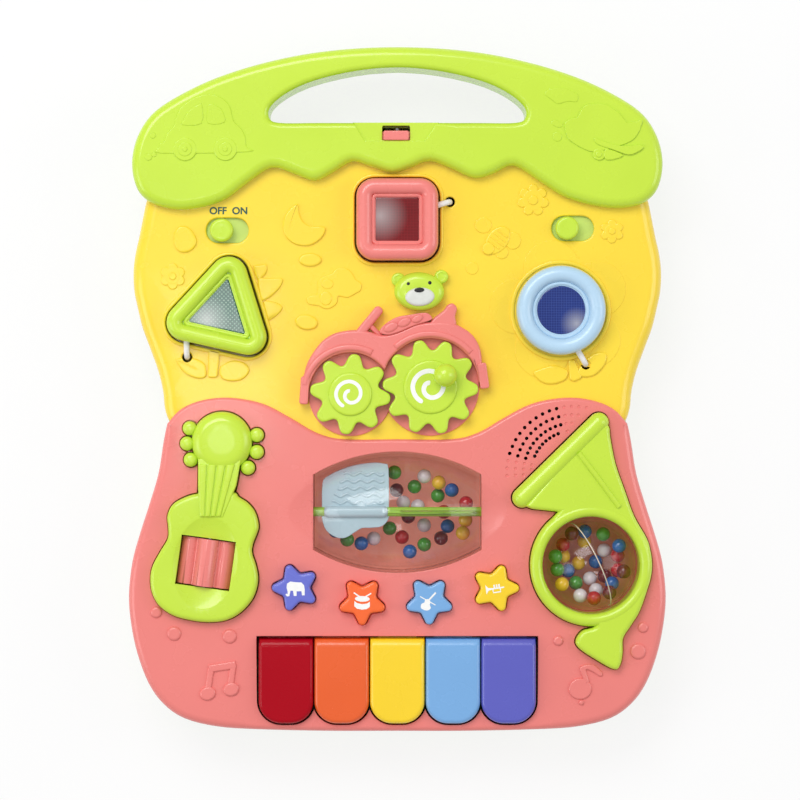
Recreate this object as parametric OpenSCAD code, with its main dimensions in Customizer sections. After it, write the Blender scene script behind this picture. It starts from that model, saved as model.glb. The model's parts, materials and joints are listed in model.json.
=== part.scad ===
// Activity panel of a baby push walker: a music, bead and gear board with a carry handle.
// The panel lies on its back. X is to the right, Y towards the handle, Z out of the front face.

/* [Housing] */
// Width across the widest part of the lower front panel
body_w = 280; // [276:1:284]
// Length from the bottom edge to the top of the handle
body_h = 356; // [352:1:360]
// Height of the line where the front and back shells meet
parting_z = 20; // [19.5:0.1:20.5]
// Height of the flat face of the upper front panel
upper_z = 42; // [41.8:0.1:42.2]
// Height of the flat face of the lower front panel
lower_z = 44.5; // [44.3:0.1:44.7]
// Height of the flat face of the top cover
cover_z = 50; // [49:0.5:52]
// Thickness of the moulded walls
skin = 2; // [1.8:0.1:2.2]
// Width of the rounded shoulder along the sides of the front panels
shoulder = 7; // [6:0.5:8]
// Radius of the rolled edge of the top cover
cover_roll = 5; // [4:0.5:6]
// Height of the handle's back above the surface that the panel lies on
handle_lift = 12; // [10:0.5:13]

/* [Gears] */
// Number of teeth on the left gear
small_teeth = 8; // [8]
// Number of teeth on the right gear
big_teeth = 10; // [10]
// Distance between the two gear posts for each tooth of both gears together
centre_per_tooth = 2.321; // [2.315:0.001:2.34]
// Height of a tooth from root to tip
tooth_h = 5.7; // [5:0.1:5.9]
// Thickness of the gears
gear_t = 6; // [5:0.5:7]

/* [Keys] */
// Distance from one key to the next
key_pitch = 28.9; // [28.7:0.1:29.1]
// Width of one key
key_w = 28.4; // [28:0.1:28.5]
// Height of the key tops
key_z = 49; // [48:0.5:50]
// Radius of the steel rod that the keys turn on
rod_r = 1.55; // [1.5:0.01:1.57]

/* [Buttons] */
// Distance from the middle of a star button to its tips
star_r = 12.7; // [12:0.1:13]
// Distance from the middle of a star button to its notches
star_notch_r = 6.8; // [6.4:0.1:7.2]
// Height of the star button tops
star_z = 49.5; // [48.5:0.5:50.5]

/* [Bead drum] */
// Radius of the clear drum at its middle
drum_r = 30.5; // [30:0.1:30.7]
// Radius of the clear drum at its ends
drum_end_r = 18.8; // [18:0.1:19]
// Length of the clear drum
drum_len = 85; // [84:0.5:85.5]
// Height of the drum's axle
drum_z = 35.5; // [35:0.1:36]
// Diameter of the loose beads
bead_d = 7.5; // [7:0.1:7.7]

/* [Horn and guitar] */
// Radius of the clear bead ball in the horn
ball_r = 24; // [23.5:0.1:24.3]
// Height of the bead ball's centre
ball_z = 35; // [34.5:0.5:36]
// Radius over the lobes of the guitar's roller
roller_r = 15.5; // [15:0.1:15.8]
// Height of the roller's axle
roller_z = 36.5; // [36:0.5:37]

/* [Shape blocks] */
// Width of the square block
square_w = 42.5; // [42:0.1:43]
// Side of the triangle that bounds the three-cornered block
triangle_side = 66.5; // [66:0.1:67]
// Radius of the round block
round_r = 23.1; // [22.8:0.1:23.4]
// Height of the tops of the blocks
block_z = 54; // [53:0.5:55]
// Radius of the tether cords
tether_r = 1.5; // [1.3:0.1:1.6]

/* [Hidden] */

LIME = [0.78, 0.91, 0.25];
YELLOW = [1.0, 0.87, 0.24];
PINK = [0.93, 0.51, 0.49];
PALE_BLUE = [0.73, 0.85, 0.94];
STEEL = [0.75, 0.76, 0.78];
CLEAR = [0.85, 0.9, 0.92, 0.4];
KEY_COLOURS = [[0.66, 0, 0.08], [0.92, 0.37, 0.14], [0.97, 0.83, 0.14], [0.47, 0.67, 0.87], [0.36, 0.36, 0.75]];
STAR_COLOURS = [[0.39, 0.42, 0.82], [0.98, 0.41, 0.18], [0.47, 0.69, 0.88], [0.99, 0.85, 0.16]];
BEAD_COLOURS = [[0.12, 0.39, 0.71], [0.31, 0.63, 0.24], [0.98, 0.78, 0.2], [0.92, 0.88, 0.92], [0.59, 0, 0.08]];

// Vector and outline helpers. Every closed outline runs clockwise when seen from the front.
function unit(v) = v / norm(v);
function turned_left(v) = [-v[1], v[0]];
function spline(a, b, c, d, t) = 0.5 * ((2 * b) + (c - a) * t + (2 * a - 5 * b + 4 * c - d) * t * t
    + (-a + 3 * b - 3 * c + d) * t * t * t);
function smooth_loop(p, steps) = let(n = len(p)) [for (i = [0:n - 1], k = [0:steps - 1])
    spline(p[(i - 1 + n) % n], p[i], p[(i + 1) % n], p[(i + 2) % n], k / steps)];
function with_mirror(half) = concat(half, [for (i = [len(half) - 1:-1:0]) if (half[i][0] > 0.01)
    [-half[i][0], half[i][1]]]);
function reversed(p) = [for (i = [len(p) - 1:-1:0]) p[i]];
function fitted(p) = [for (q = p) [q[0] * body_w / 280, q[1] * body_h / 356]];
function inward(p) = let(n = len(p)) [for (i = [0:n - 1])
    let(a = -turned_left(unit(p[i] - p[(i - 1 + n) % n])), b = -turned_left(unit(p[(i + 1) % n] - p[i])),
        m = unit(a + b)) m / max(0.6, m * b)];
function inset(p, d) = let(nn = inward(p)) [for (i = [0:len(p) - 1]) p[i] + nn[i] * d];
function spin2(p, a) = [p[0] * cos(a) - p[1] * sin(a), p[0] * sin(a) + p[1] * cos(a)];
function ellipse(rx, ry, n) = [for (i = [0:n - 1]) [rx * cos(-360 * i / n), ry * sin(-360 * i / n)]];

// Edge section of a moulded shell: wall foot, rolled shoulder of radius r, short flange, inner chamfer
EDGE_STEPS = 3;
function edge_section(foot_z, top_z, r, flange) = let(c = max(0.3, (r - skin) * 0.8)) concat([[0, foot_z]],
    [for (i = [0:EDGE_STEPS]) let(a = 90 * i / EDGE_STEPS) [r - r * cos(a), top_z - r + r * sin(a)]],
    [[flange, top_z], [flange, top_z - skin], [skin + c, top_z - skin], [skin, top_z - skin - c], [skin, foot_z]]);
// Closed band swept along an outline; sections holds one edge section for each point of the outline
module edge_band(outline, sections) {
    n = len(outline);
    m = len(sections[0]);
    nn = inward(outline);
    points = [for (j = [0:m - 1], i = [0:n - 1])
        [outline[i][0] + nn[i][0] * sections[i][j][0], outline[i][1] + nn[i][1] * sections[i][j][0],
            sections[i][j][1]]];
    polyhedron(points, [for (j = [0:m - 1], i = [0:n - 1]) let(k = (j + 1) % m, l = (i + 1) % n)
        each [[j * n + i, k * n + l, k * n + i], [j * n + i, j * n + l, k * n + l]]]);
}
module plate(z0, z1) translate([0, 0, z0]) linear_extrude(z1 - z0) children();
// Flat wall of the given thickness just inside an outline
module wall_of(outline, t) difference() {
    polygon(outline);
    polygon(inset(outline, t));
}
// Low dome over a closed outline, rising from z0 past a straight wall to its crown
module domed(outline, centre, z0, wall_z, crown_z, rings = 4) {
    n = len(outline);
    levels = concat([[1, z0]], [for (j = [0:rings - 1]) let(a = 90 * j / rings)
        [cos(a), wall_z + (crown_z - wall_z) * sin(a)]]);
    m = len(levels);
    points = concat([for (l = levels, q = outline) let(w = centre + (q - centre) * l[0]) [w[0], w[1], l[1]]],
        [[centre[0], centre[1], crown_z], [centre[0], centre[1], z0]]);
    polyhedron(points, concat(
        [for (j = [0:m - 2], i = [0:n - 1]) let(k = j + 1, l = (i + 1) % n)
            each [[j * n + i, k * n + l, k * n + i], [j * n + i, j * n + l, k * n + l]]],
        [for (i = [0:n - 1]) [(m - 1) * n + i, (m - 1) * n + (i + 1) % n, m * n]],
        [for (i = [0:n - 1]) [(i + 1) % n, i, m * n + 1]]));
}
// Round cord swept along a route in space
module cord(route, r, sides = 8) {
    n = len(route);
    dirs = [for (i = [0:n - 1]) unit(route[min(i + 1, n - 1)] - route[max(i - 1, 0)])];
    points = concat([for (i = [0:n - 1]) let(d = dirs[i], s = unit(cross(d, [0.13, 0.97, 0.21])), u = cross(s, d))
        each [for (k = [0:sides - 1]) route[i] + r * (s * cos(360 * k / sides) + u * sin(360 * k / sides))]],
        [route[0], route[n - 1]]);
    polyhedron(points, concat(
        [for (i = [0:n - 2], k = [0:sides - 1]) let(l = (k + 1) % sides)
            each [[i * sides + k, (i + 1) * sides + l, (i + 1) * sides + k],
                [i * sides + k, i * sides + l, (i + 1) * sides + l]]],
        [for (k = [0:sides - 1]) [(k + 1) % sides, k, n * sides]],
        [for (k = [0:sides - 1]) [(n - 1) * sides + k, (n - 1) * sides + (k + 1) % sides, n * sides + 1]]));
}
// Straight round bar from a to b
module bar(a, b, r, fn = 32) {
    d = b - a;
    translate(a) rotate([0, acos(d[2] / norm(d)), atan2(d[1], d[0])]) cylinder(r = r, h = norm(d), $fn = fn);
}
module obround(length, width) {
    square([length - width, width], center = true);
    for (s = [-1, 1]) translate([s * (length - width) / 2, 0]) circle(d = width, $fn = 48);
}
module rounded_square(w, r) {
    square([w - 2 * r, w], center = true);
    square([w, w - 2 * r], center = true);
    for (x = [-1, 1], y = [-1, 1]) translate([x, y] * (w / 2 - r)) circle(r = r, $fn = 48);
}

// Outlines of the housing, right halves from the middle of the top
COVER_SIDE = [[0, 177.9], [20, 177.3], [40, 175.4], [58, 172.3], [78, 167.3], [98, 160.3], [116.5, 151],
    [128, 142.5], [135, 131.5], [137.9, 119.5], [136.8, 108.5], [132.6, 100.4]];
// The wavy lip, from its right end to its left end
WAVE = [[124, 95.4], [108.9, 94.5], [88.5, 99.5], [74.5, 107.9], [60.6, 116.3], [50, 112.2], [40.1, 109.8],
    [28.5, 114.6], [16.9, 118.6], [7, 115.2], [-2.6, 112.5], [-13, 115.6], [-23.2, 118.4], [-33, 113], [-42.9, 108.5],
    [-54, 112.2], [-65.3, 115.2], [-77, 108.1], [-91.3, 97.8], [-110, 93.4], [-124, 95.4]];
UPPER_SIDE = [[0, 124], [60, 124], [121, 123.5], [126.5, 113], [128.6, 105], [131.2, 98], [133, 89.5], [135, 79.5],
    [137, 70.5], [138, 61.5], [137.6, 51.5], [135.9, 43], [133.2, 32], [129.3, 21.5], [125, 9.5], [122.5, -1],
    [121.5, -10], [118.9, -16.6], [114.6, -16.6], [109.8, -12.4], [104.6, -9.5], [97, -7.8], [87, -7.4], [72, -10.6],
    [57.6, -17.8], [44, -25.6], [28, -29.4], [0, -29.4]];
LOWER_SIDE = [[0, -26], [28, -26], [42, -22.6], [56, -14.6], [70.3, -7.4], [87, -4.4], [101, -5.6], [112.2, -10],
    [118.9, -16.9], [120.1, -19], [122, -28], [124.6, -44], [129.5, -60.5], [134.3, -75.5], [138.2, -90], [140, -107],
    [138.9, -122], [135.5, -138], [129.7, -153.3], [122, -164], [111, -171.6], [94, -175.8], [73, -177.2],
    [36, -178], [0, -178]];
BACK_SIDE = [[0, 136], [60, 136], [112, 135.8], [124, 133.6], [132, 127], [136, 117], [134.8, 106], [131, 96],
    [134, 80], [136.6, 62], [134.6, 42], [128, 20], [122, 2], [120.4, -14], [121.4, -30], [125, -49], [132, -72],
    [137, -91], [138.8, -107], [137.6, -122], [134, -138], [128, -153], [120, -163.4], [109, -170.6],
    [93, -174.6], [73, -176], [36, -176.8], [0, -176.8]];
OPENING_SIDE = [[0.6, 167], [14, 166.2], [30, 163.6], [46, 159.2], [58, 153.4], [65.5, 147], [66.6, 141.6], [62, 138.4],
    [40, 138.3], [0, 138.3]];

cover_line = fitted(smooth_loop(concat(COVER_SIDE, WAVE, reversed([for (p = COVER_SIDE) if (p[0] > 0) [-p[0], p[1]]])), 2));
upper_line = fitted(smooth_loop(with_mirror(UPPER_SIDE), 2));
lower_line = fitted(smooth_loop(with_mirror(LOWER_SIDE), 2));
back_line = fitted(smooth_loop(with_mirror(BACK_SIDE), 2));
opening_line = reversed(smooth_loop(with_mirror(OPENING_SIDE), 2));

// Places of the parts of the front
SQUARE_AT = [0, 88.2];
TRIANGLE_AT = [-91.7, 40.4];
TRIANGLE_TURN = 77.3;
ROUND_AT = [85, 41];
SMALL_GEAR_AT = [-24.4, -2.6];
GEAR_LINE_ANGLE = 5.2;
DRUM_AT = [0, -64];
BALL_AT = [100.6, -91.4];
BALL_AXIS_ANGLE = -65.2;
ROLLER_AT = [-99.5, -90.1];
ROLLER_TURN = -8;
BEAR_AT = [11.4, 50.8];
SPEAKER_AT = [73, -28];
LATCH_AT = [-0.6, 132.55];
SWITCH_LEFT_AT = [-88.5, 82.7];
SWITCH_RIGHT_AT = [91.4, 83.8];
STAR_PLACES = [[-52.9, -103.1, 180], [-18.2, -110.2, -90], [16.6, -109.9, -90], [51, -103.3, 0]];
COVER_SCREWS = [[-100, 128.5], [100, 128.5]];
UPPER_SCREWS = [[-120, 63], [120, 63], [-50, 15], [52, 12]];
LOWER_SCREWS = [[-58, -40], [52, -47], [-127, -135], [128, -134], [-88, -163], [88, -163]];

centre_distance = centre_per_tooth * (small_teeth + big_teeth);
BIG_GEAR_AT = SMALL_GEAR_AT + centre_distance * [cos(GEAR_LINE_ANGLE), sin(GEAR_LINE_ANGLE)];
small_tip_r = centre_distance * small_teeth / (small_teeth + big_teeth) + tooth_h * 0.41;
big_tip_r = centre_distance * big_teeth / (small_teeth + big_teeth) + tooth_h * 0.28;
SMALL_TIP_ANGLE = -7;
// The big gear is turned so that one of its gaps meets a tooth of the small gear
big_tip_angle = GEAR_LINE_ANGLE + 180
    - ((SMALL_TIP_ANGLE - GEAR_LINE_ANGLE) / (360 / small_teeth) + 0.5) * 360 / big_teeth;
gear_z = upper_z + 2;
well_floor = parting_z + 6;
boss_r = 4;
pilot_r = 1.5;

// Screw boss of the back shell, with the well for the screw's head
module back_boss(at) translate([at[0], at[1], 1.2]) cylinder(r = boss_r + 1, h = parting_z - 1.2, $fn = 32);
module back_boss_holes(at) translate(at) {
    translate([0, 0, -1]) cylinder(r = 3.6, h = parting_z - 7, $fn = 32);
    cylinder(r = 1.8, h = parting_z + 1, $fn = 32);
}
// Screw boss under a front panel
module front_boss(at, top_z) translate([at[0], at[1], parting_z]) cylinder(r = boss_r, h = top_z - parting_z - 0.5, $fn = 32);
module front_boss_hole(at) translate([at[0], at[1], parting_z - 1]) cylinder(r = pilot_r, h = 15, $fn = 24);

HOOK_SLOTS = [[-60, -148], [60, -148]];
HOOK_SLOT = [26, 9, 14];
LATCH_POCKET = [34, 20, 15];
LATCH_POCKET_AT = [0, 116];
BATTERY_AT = [0, 39.5];
BATTERY_BAY = [57, 48, 17.5];
BATTERY_PITCH = 15.6;
BATTERY_R = 7.1;
DOOR_SCREW_AT = [0, 9.6];

module door_outline(gap) {
    translate(BATTERY_AT) square([BATTERY_BAY[0] + 4 - 2 * gap, BATTERY_BAY[1] + 4 - 2 * gap], center = true);
    translate(DOOR_SCREW_AT + [0, 2]) square([16 - 2 * gap, 12 - 2 * gap], center = true);
}
module back_shell() color(LIME) difference() {
    union() {
        translate([0, 0, parting_z]) mirror([0, 0, 1])
            edge_band(back_line, [for (p = back_line) edge_section(0, parting_z, cover_roll, cover_roll + 1.5)]);
        plate(0, skin) offset(delta = -cover_roll - 0.5) polygon(back_line);
        // The back half of the handle is shallower, so that fingers get round it
        difference() {
            union() {
                plate(handle_lift + 2, parting_z) handle_back(0);
                plate(handle_lift + 0.7, handle_lift + 2) handle_back(0.8);
                plate(handle_lift, handle_lift + 0.7) handle_back(2);
            }
            plate(handle_lift + skin + 0.5, parting_z + 1) handle_back(skin + 0.4);
        }
        for (p = concat(COVER_SCREWS, UPPER_SCREWS, LOWER_SCREWS)) back_boss(p);
        plate(0, BATTERY_BAY[2] + skin * 2) translate(BATTERY_AT)
            square([BATTERY_BAY[0] + 7, BATTERY_BAY[1] + 7], center = true);
        translate(DOOR_SCREW_AT) cylinder(r = 5, h = 12, $fn = 32);
        plate(0, 4.5) door_outline(-1.5);
        for (p = HOOK_SLOTS) plate(0, HOOK_SLOT[2] + skin) translate(p)
            square([HOOK_SLOT[0] + 4, HOOK_SLOT[1] + 4], center = true);
        plate(0, LATCH_POCKET[2] + skin) translate(LATCH_POCKET_AT)
            square([LATCH_POCKET[0] + 4, LATCH_POCKET[1] + 4], center = true);
        for (x = [-1, 1], y = BOARD_POSTS) translate([x * BOARD_POST_X, y, skin - 0.5]) {
            cylinder(r = 3, h = BOARD_Z - skin + 0.5, $fn = 32);
            cylinder(r = 1.4, h = BOARD_Z - skin + 2.3, $fn = 24);
        }
        translate([SPEAKER_AT[0], SPEAKER_AT[1], skin - 0.5]) difference() {
            cylinder(r = SPEAKER_R + 1.1, h = SPEAKER_Z - skin + 0.5, $fn = 64);
            translate([0, 0, 0.5]) cylinder(r = SPEAKER_R - 0.9, h = SPEAKER_Z, $fn = 64);
        }
        // Stiffening ribs across the floor
        for (y = [-125, -104, 92]) plate(0, 6) translate([0, y]) square([210, 1.6], center = true);
    }
    for (p = concat(COVER_SCREWS, UPPER_SCREWS, LOWER_SCREWS)) back_boss_holes(p);
    plate(-1, BATTERY_BAY[2] + skin) translate(BATTERY_AT) square([BATTERY_BAY[0], BATTERY_BAY[1]], center = true);
    plate(-1, 2.2) door_outline(0);
    translate([DOOR_SCREW_AT[0], DOOR_SCREW_AT[1], -1]) cylinder(r = 1.6, h = 11, $fn = 24);
    for (p = HOOK_SLOTS) plate(-1, HOOK_SLOT[2]) translate(p) square([HOOK_SLOT[0], HOOK_SLOT[1]], center = true);
    plate(-1, LATCH_POCKET[2]) translate(LATCH_POCKET_AT)
        square([LATCH_POCKET[0], LATCH_POCKET[1]], center = true);
    // Window through which the latch hook reaches into the pocket
    translate([0, LATCH_POCKET_AT[1] + LATCH_POCKET[1] / 2, 8]) cube([12, 6, 11.6], center = true);
}
module handle_back(d) difference() {
    polygon(inset(cover_line, 1.2 + d));
    translate([-150, -250]) square([300, 250 + 135.2]);
    polygon(inset(reversed(opening_line), -0.6 - d));
}

module front_bosses(places, top_z) difference() {
    for (p = places) front_boss(p, top_z);
    for (p = places) front_boss_hole(p);
}
// The shoulder runs along the sides and fades where other panels cover the edge
function upper_roll(p) = abs(p[0]) < 117 ? 1 : max(1, min(shoulder, 1 + (p[1] + 16) * 0.35, (112 - p[1]) * 0.7));
module upper_panel() color(YELLOW) difference() {
    union() {
        edge_band(upper_line, [for (p = upper_line)
            edge_section(upper_z - skin - 6.5, upper_z, upper_roll(p), upper_roll(p) + 1.5)]);
        plate(upper_z - skin, upper_z) {
            offset(delta = -shoulder - 0.6) polygon(upper_line);
            intersection() {
                offset(delta = -1.7) polygon(upper_line);
                union() {
                    translate([-113, -40]) square([226, 40]);
                    translate([-121, 109]) square([242, 30]);
                }
            }
        }
        plate(parting_z, upper_z - skin - 6) difference() {
            wall_of(upper_line, skin);
            square([220, 400], center = true);
            translate([-150, 104]) square([300, 60]);
            translate([-150, -78]) square([300, 60]);
        }
        for (p = UPPER_SCREWS) front_boss(p, upper_z);
        for (k = [0, 1]) translate([SWITCH_X[k] + 3.5, SWITCH_Y[k], 0]) switch_cradle();
        plate(well_floor - skin, upper_z + 1.5) {
            translate(SQUARE_AT) rounded_square(square_w + 5.6, 12);
            translate(TRIANGLE_AT) rotate(TRIANGLE_TURN) rounded_triangle(triangle_side + 10.5, 13);
            translate(ROUND_AT) circle(r = round_r + 3.2, $fn = 96);
        }
        upper_reliefs();
    }
    for (p = UPPER_SCREWS) front_boss_hole(p);
    plate(well_floor, upper_z + 3) {
        translate(SQUARE_AT) rounded_square(square_w + 2, 10.5);
        translate(TRIANGLE_AT) rotate(TRIANGLE_TURN) rounded_triangle(triangle_side + 3.5, 10.5);
        translate(ROUND_AT) circle(r = round_r + 1, $fn = 96);
    }
    // Holes for the lights, the tethers, the gear posts and the switch knobs
    for (p = [SQUARE_AT, TRIANGLE_AT, ROUND_AT]) translate([p[0], p[1], 10]) cylinder(r = 2.7, h = 30, $fn = 32);
    for (t = TETHERS) translate([t[1][0], t[1][1], upper_z - 10]) cylinder(r = 2.6, h = 20, $fn = 32);
    for (p = [SMALL_GEAR_AT, BIG_GEAR_AT]) translate([p[0], p[1], upper_z - 5]) cylinder(r = post_bore_r, h = 20, $fn = 48);
    for (p = [SWITCH_LEFT_AT, SWITCH_RIGHT_AT]) plate(upper_z - 5, upper_z + 3) translate(p) obround(SWITCH_SLOT[0], SWITCH_SLOT[1]);
}
SWITCH_SLOT = [22, 13];
post_r = 3.5;
post_bore_r = 3.56;

// Equilateral triangle with its corners turned to radius r
CORNER_STEPS = 10;
function triangle_points(side, r) = let(c = side / sqrt(3) - 2 * r) [for (k = [0:2], i = [0:CORNER_STEPS])
    spin2([c, 0], -120 * k) + spin2([r, 0], -120 * k + 60 - 120 * i / CORNER_STEPS)];
module rounded_triangle(side, r) polygon(triangle_points(side, r));
module ring_of(n, r, turn) for (k = [0:n - 1]) rotate(turn + 360 * k / n) translate([r, 0]) children();
module leaf(length, width) {
    k = (length * length / 4 + width * width / 4) / width;
    intersection() {
        translate([0, k - width / 2]) circle(r = k, $fn = 64);
        translate([0, width / 2 - k]) circle(r = k, $fn = 64);
    }
}
// Low ornaments moulded on the upper face
module upper_reliefs() plate(upper_z - 0.5, upper_z + 0.9) {
    difference() {
        translate(ROUND_AT) ring_of(5, 22.5, 30) circle(r = 14.6, $fn = 64);
        translate(ROUND_AT) ring_of(5, 22.5, 30) circle(r = 12.9, $fn = 64);
        translate(ROUND_AT) circle(r = 26.5, $fn = 64);
    }
    translate([-116.6, 58.8]) ring_of(6, 4.6, 10) circle(r = 2.6, $fn = 24);
    translate([71, 98.5]) ring_of(6, 5.4, 0) circle(r = 3.2, $fn = 24);
    translate([111.8, 82.3]) ring_of(5, 4, 20) circle(r = 2.5, $fn = 24);
    difference() {
        translate([-47, 85]) circle(r = 11, $fn = 48);
        translate([-43.5, 92.5]) circle(r = 10.4, $fn = 48);
    }
    translate([-110.5, 77.6]) rotate(60) leaf(15, 11);
    for (q = [[-45.4, 67.4, 20], [-47.3, 34.9, -15]]) translate([q[0], q[1]]) rotate(q[2]) leaf(14, 8);
    for (q = [[-41, 50, 6], [-33, 53, 8.2], [-25, 50.5, 6.2], [-30, 46.5, 5]]) translate([q[0], q[1]]) circle(r = q[2], $fn = 32);
    for (q = [[-67.5, 60, 75], [-62, 50.5, 50], [-62.5, 40.5, 10]]) translate([q[0], q[1]]) rotate(q[2]) leaf(15, 6.5);
    translate([-95.4, 13]) square([5, 15], center = true);
    for (q = [[-107.5, 10.5, -18], [-85, 10.5, 18], [79.5, 10, -16], [103, 10.5, 18]])
        translate([q[0], q[1]]) rotate(q[2]) leaf(17, 8.5);
    translate([92, 11]) square([4.6, 14], center = true);
}

function lower_is_lip(p) = p[1] > -18.5 || (p[1] > -27 && abs(p[0]) < 60);
module lower_panel() color(PINK) difference() {
    union() {
        edge_band(lower_line, [for (p = lower_line) lower_is_lip(p)
            ? edge_section(upper_z, lower_z, 2.1, 3.6)
            : edge_section(lower_z - 8.5, lower_z, min(shoulder, 2.1 + (-18.5 - p[1]) * 0.4),
                min(shoulder + 1.5, 4.4 + (-18.5 - p[1]) * 0.9))]);
        plate(lower_z - skin + 0.03, lower_z - 0.03) intersection() {
            offset(delta = -2.8) polygon(lower_line);
            union() {
                offset(delta = -shoulder - 0.6) polygon(lower_line);
                for (q = [[111, -60], [114.2, -25.6], [115.4, -22.2], [116.9, -20.7]])
                    translate([-q[0], q[1]]) square([2 * q[0], -q[1]]);
            }
        }
        plate(parting_z, lower_z - 7.5) difference() {
            wall_of(lower_line, skin);
            translate([-150, -18.3]) square([300, 60]);
            translate([-100, -50]) square([200, 60]);
        }
        for (p = LOWER_SCREWS) front_boss(p, lower_z);
        // Rims that stand down round the drum window and the key bay
        plate(drum_z + AXLE_R + 0.5, lower_z - 0.5) difference() {
            drum_window(1.6);
            drum_window(0);
        }
        plate(parting_z + 9, lower_z - 0.5) key_bay_wall();
        for (x = KEY_RIBS) translate([x, HINGE_Y, 0]) hinge_rib();
        for (q = LOWER_DOTS) translate([q[0], q[1], lower_z - 0.5]) cylinder(r1 = q[2], r2 = q[2] - 0.9, h = 1.7, $fn = 32);
    }
    // Shallow dishes round the drum window and the roller
    plate(lower_z - DISH, lower_z + 1) translate(DRUM_AT) polygon(ellipse(57.5, 24, 96));
    plate(lower_z - 5, lower_z + 1) {
        drum_window(0);
        guitar_outline(0.5);
        translate([-107.1, -24.4]) circle(r = 1.2, $fn = 24);
        horn_outline(0.5);
        for (s = STAR_PLACES) translate([s[0], s[1]]) rotate(s[2]) star_outline(0.6);
        key_bay();
    }
    for (p = LOWER_SCREWS) front_boss_hole(p);
    for (x = KEY_RIBS) translate([x, HINGE_Y, HINGE_Z]) rotate([0, 90, 0]) cylinder(r = rod_r + 0.03, h = 6, center = true, $fn = 32);
    grille_holes();
}
DISH = 0.8;
LOWER_DOTS = [[-125.4, -116, 3.1], [-116.1, -127.1, 3.8], [-87.2, -128.5, 3.8], [83.7, -130.8, 2.7],
    [127.8, -123.9, 2.8], [125.2, -136.3, 4.2], [95.7, -162.9, 1.3]];
// Lens-shaped window: arcs above and below, straight ends
WINDOW_HALF = [43.8, 31.5, 19.5];
function arc_height(x, half) = let(k = half[1] - half[2], r = (half[0] * half[0] + k * k) / (2 * k))
    half[1] - r + sqrt(r * r - x * x);
function lens_points(half, n) = concat([for (i = [0:n]) let(x = -half[0] + 2 * half[0] * i / n) [x, arc_height(x, half)]],
    [for (i = [0:n]) let(x = half[0] - 2 * half[0] * i / n) [x, -arc_height(x, half)]]);
module drum_window(grow) translate(DRUM_AT) polygon(inset(lens_points(WINDOW_HALF, 16), -grow));

// Rows of round holes over the speaker, on arcs about one centre
GRILLE_AT = [91.5, -43.5];
GRILLE_RADII = [34.5, 30.1, 25.8, 21.8];
GRILLE_STEP = 6.5;
module grille_holes() for (j = [0:3], k = [0:(j == 3 ? 7 : 9)]) let(a = 104.5 + GRILLE_STEP * (k + (j == 3 ? 1 : 0)))
    translate([GRILLE_AT[0] + GRILLE_RADII[j] * cos(a), GRILLE_AT[1] + GRILLE_RADII[j] * sin(a), lower_z - 4])
        cylinder(r = 0.95, h = 6, $fn = 16);

// Keys: five in a bay, on one rod
KEY_COUNT = 5;
KEY_TOP_Y = -129.3;
KEY_END_Y = -173.6;
KEY_CORNER = 11.6;
HINGE_Y = -126.6;
HINGE_Z = 37;
KEY_RIBS = [for (k = [0:KEY_COUNT]) (k - KEY_COUNT / 2) * key_pitch];
function key_x(k) = (k - (KEY_COUNT - 1) / 2) * key_pitch;
module key_outline(d) {
    w = key_w - 2 * d;
    r = KEY_CORNER - d;
    translate([-w / 2, KEY_END_Y + KEY_CORNER]) square([w, KEY_TOP_Y - d - KEY_END_Y - KEY_CORNER]);
    translate([-w / 2 + r, KEY_END_Y + d]) square([w - 2 * r, KEY_CORNER]);
    for (s = [-1, 1]) translate([s * (w / 2 - r), KEY_END_Y + KEY_CORNER]) circle(r = r, $fn = 64);
}
module key_bay() {
    for (k = [0:KEY_COUNT - 1]) translate([key_x(k), 0]) key_outline(-1.1);
    translate([-KEY_COUNT * key_pitch / 2 - 0.9, KEY_END_Y + 15])
        square([KEY_COUNT * key_pitch + 1.8, KEY_TOP_Y + 0.8 - KEY_END_Y - 15]);
}
// Walls that stand down at both sides of the key bay
module key_bay_wall() for (s = [-1, 1])
    translate([s * (KEY_COUNT * key_pitch / 2 + 2.2), -150]) square([1.8, 34], center = true);
module hinge_rib() translate([-1.4, -2.4, HINGE_Z - 4]) cube([2.8, 4.8, lower_z - 1 - HINGE_Z + 4]);
module key(k) color(KEY_COLOURS[k]) translate([key_x(k), 0, 0]) difference() {
    union() {
        plate(HINGE_Z - 3, key_z - 1.6) key_outline(0);
        plate(key_z - 1.6, key_z - 0.7) key_outline(0.7);
        plate(key_z - 0.7, key_z) key_outline(1.6);
        translate([0, HINGE_Y, HINGE_Z]) rotate([0, 90, 0]) cylinder(r = 3, h = 20, center = true, $fn = 40);
        translate([-10, KEY_TOP_Y - 2, HINGE_Z - 2.6]) cube([20, 3, 5.2]);
        // Post that presses the contact pad
        translate([0, KEY_POST_Y, PAD_TOP + 1.8]) cylinder(r = 3.5, h = HINGE_Z - PAD_TOP, $fn = 32);
    }
    plate(HINGE_Z - 4, key_z - 3) difference() {
        key_outline(skin);
        translate([0, KEY_POST_Y]) circle(r = 3.5, $fn = 32);
    }
    // Bevel along the hinge end
    rotate([90, 0, 90]) linear_extrude(key_pitch * 1.2, center = true)
        polygon([[KEY_TOP_Y - 4, key_z + 0.2], [KEY_TOP_Y - 4, key_z], [KEY_TOP_Y + 0.1, key_z - 2.4], [KEY_TOP_Y + 1, key_z + 0.2]]);
    translate([0, HINGE_Y, HINGE_Z]) rotate([0, 90, 0]) cylinder(r = rod_r + 0.05, h = 30, center = true, $fn = 40);
}
module key_rod() color(STEEL) translate([0, HINGE_Y, HINGE_Z]) rotate([0, 90, 0])
    cylinder(r = rod_r, h = KEY_COUNT * key_pitch + 2.6, center = true, $fn = 40);

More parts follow.
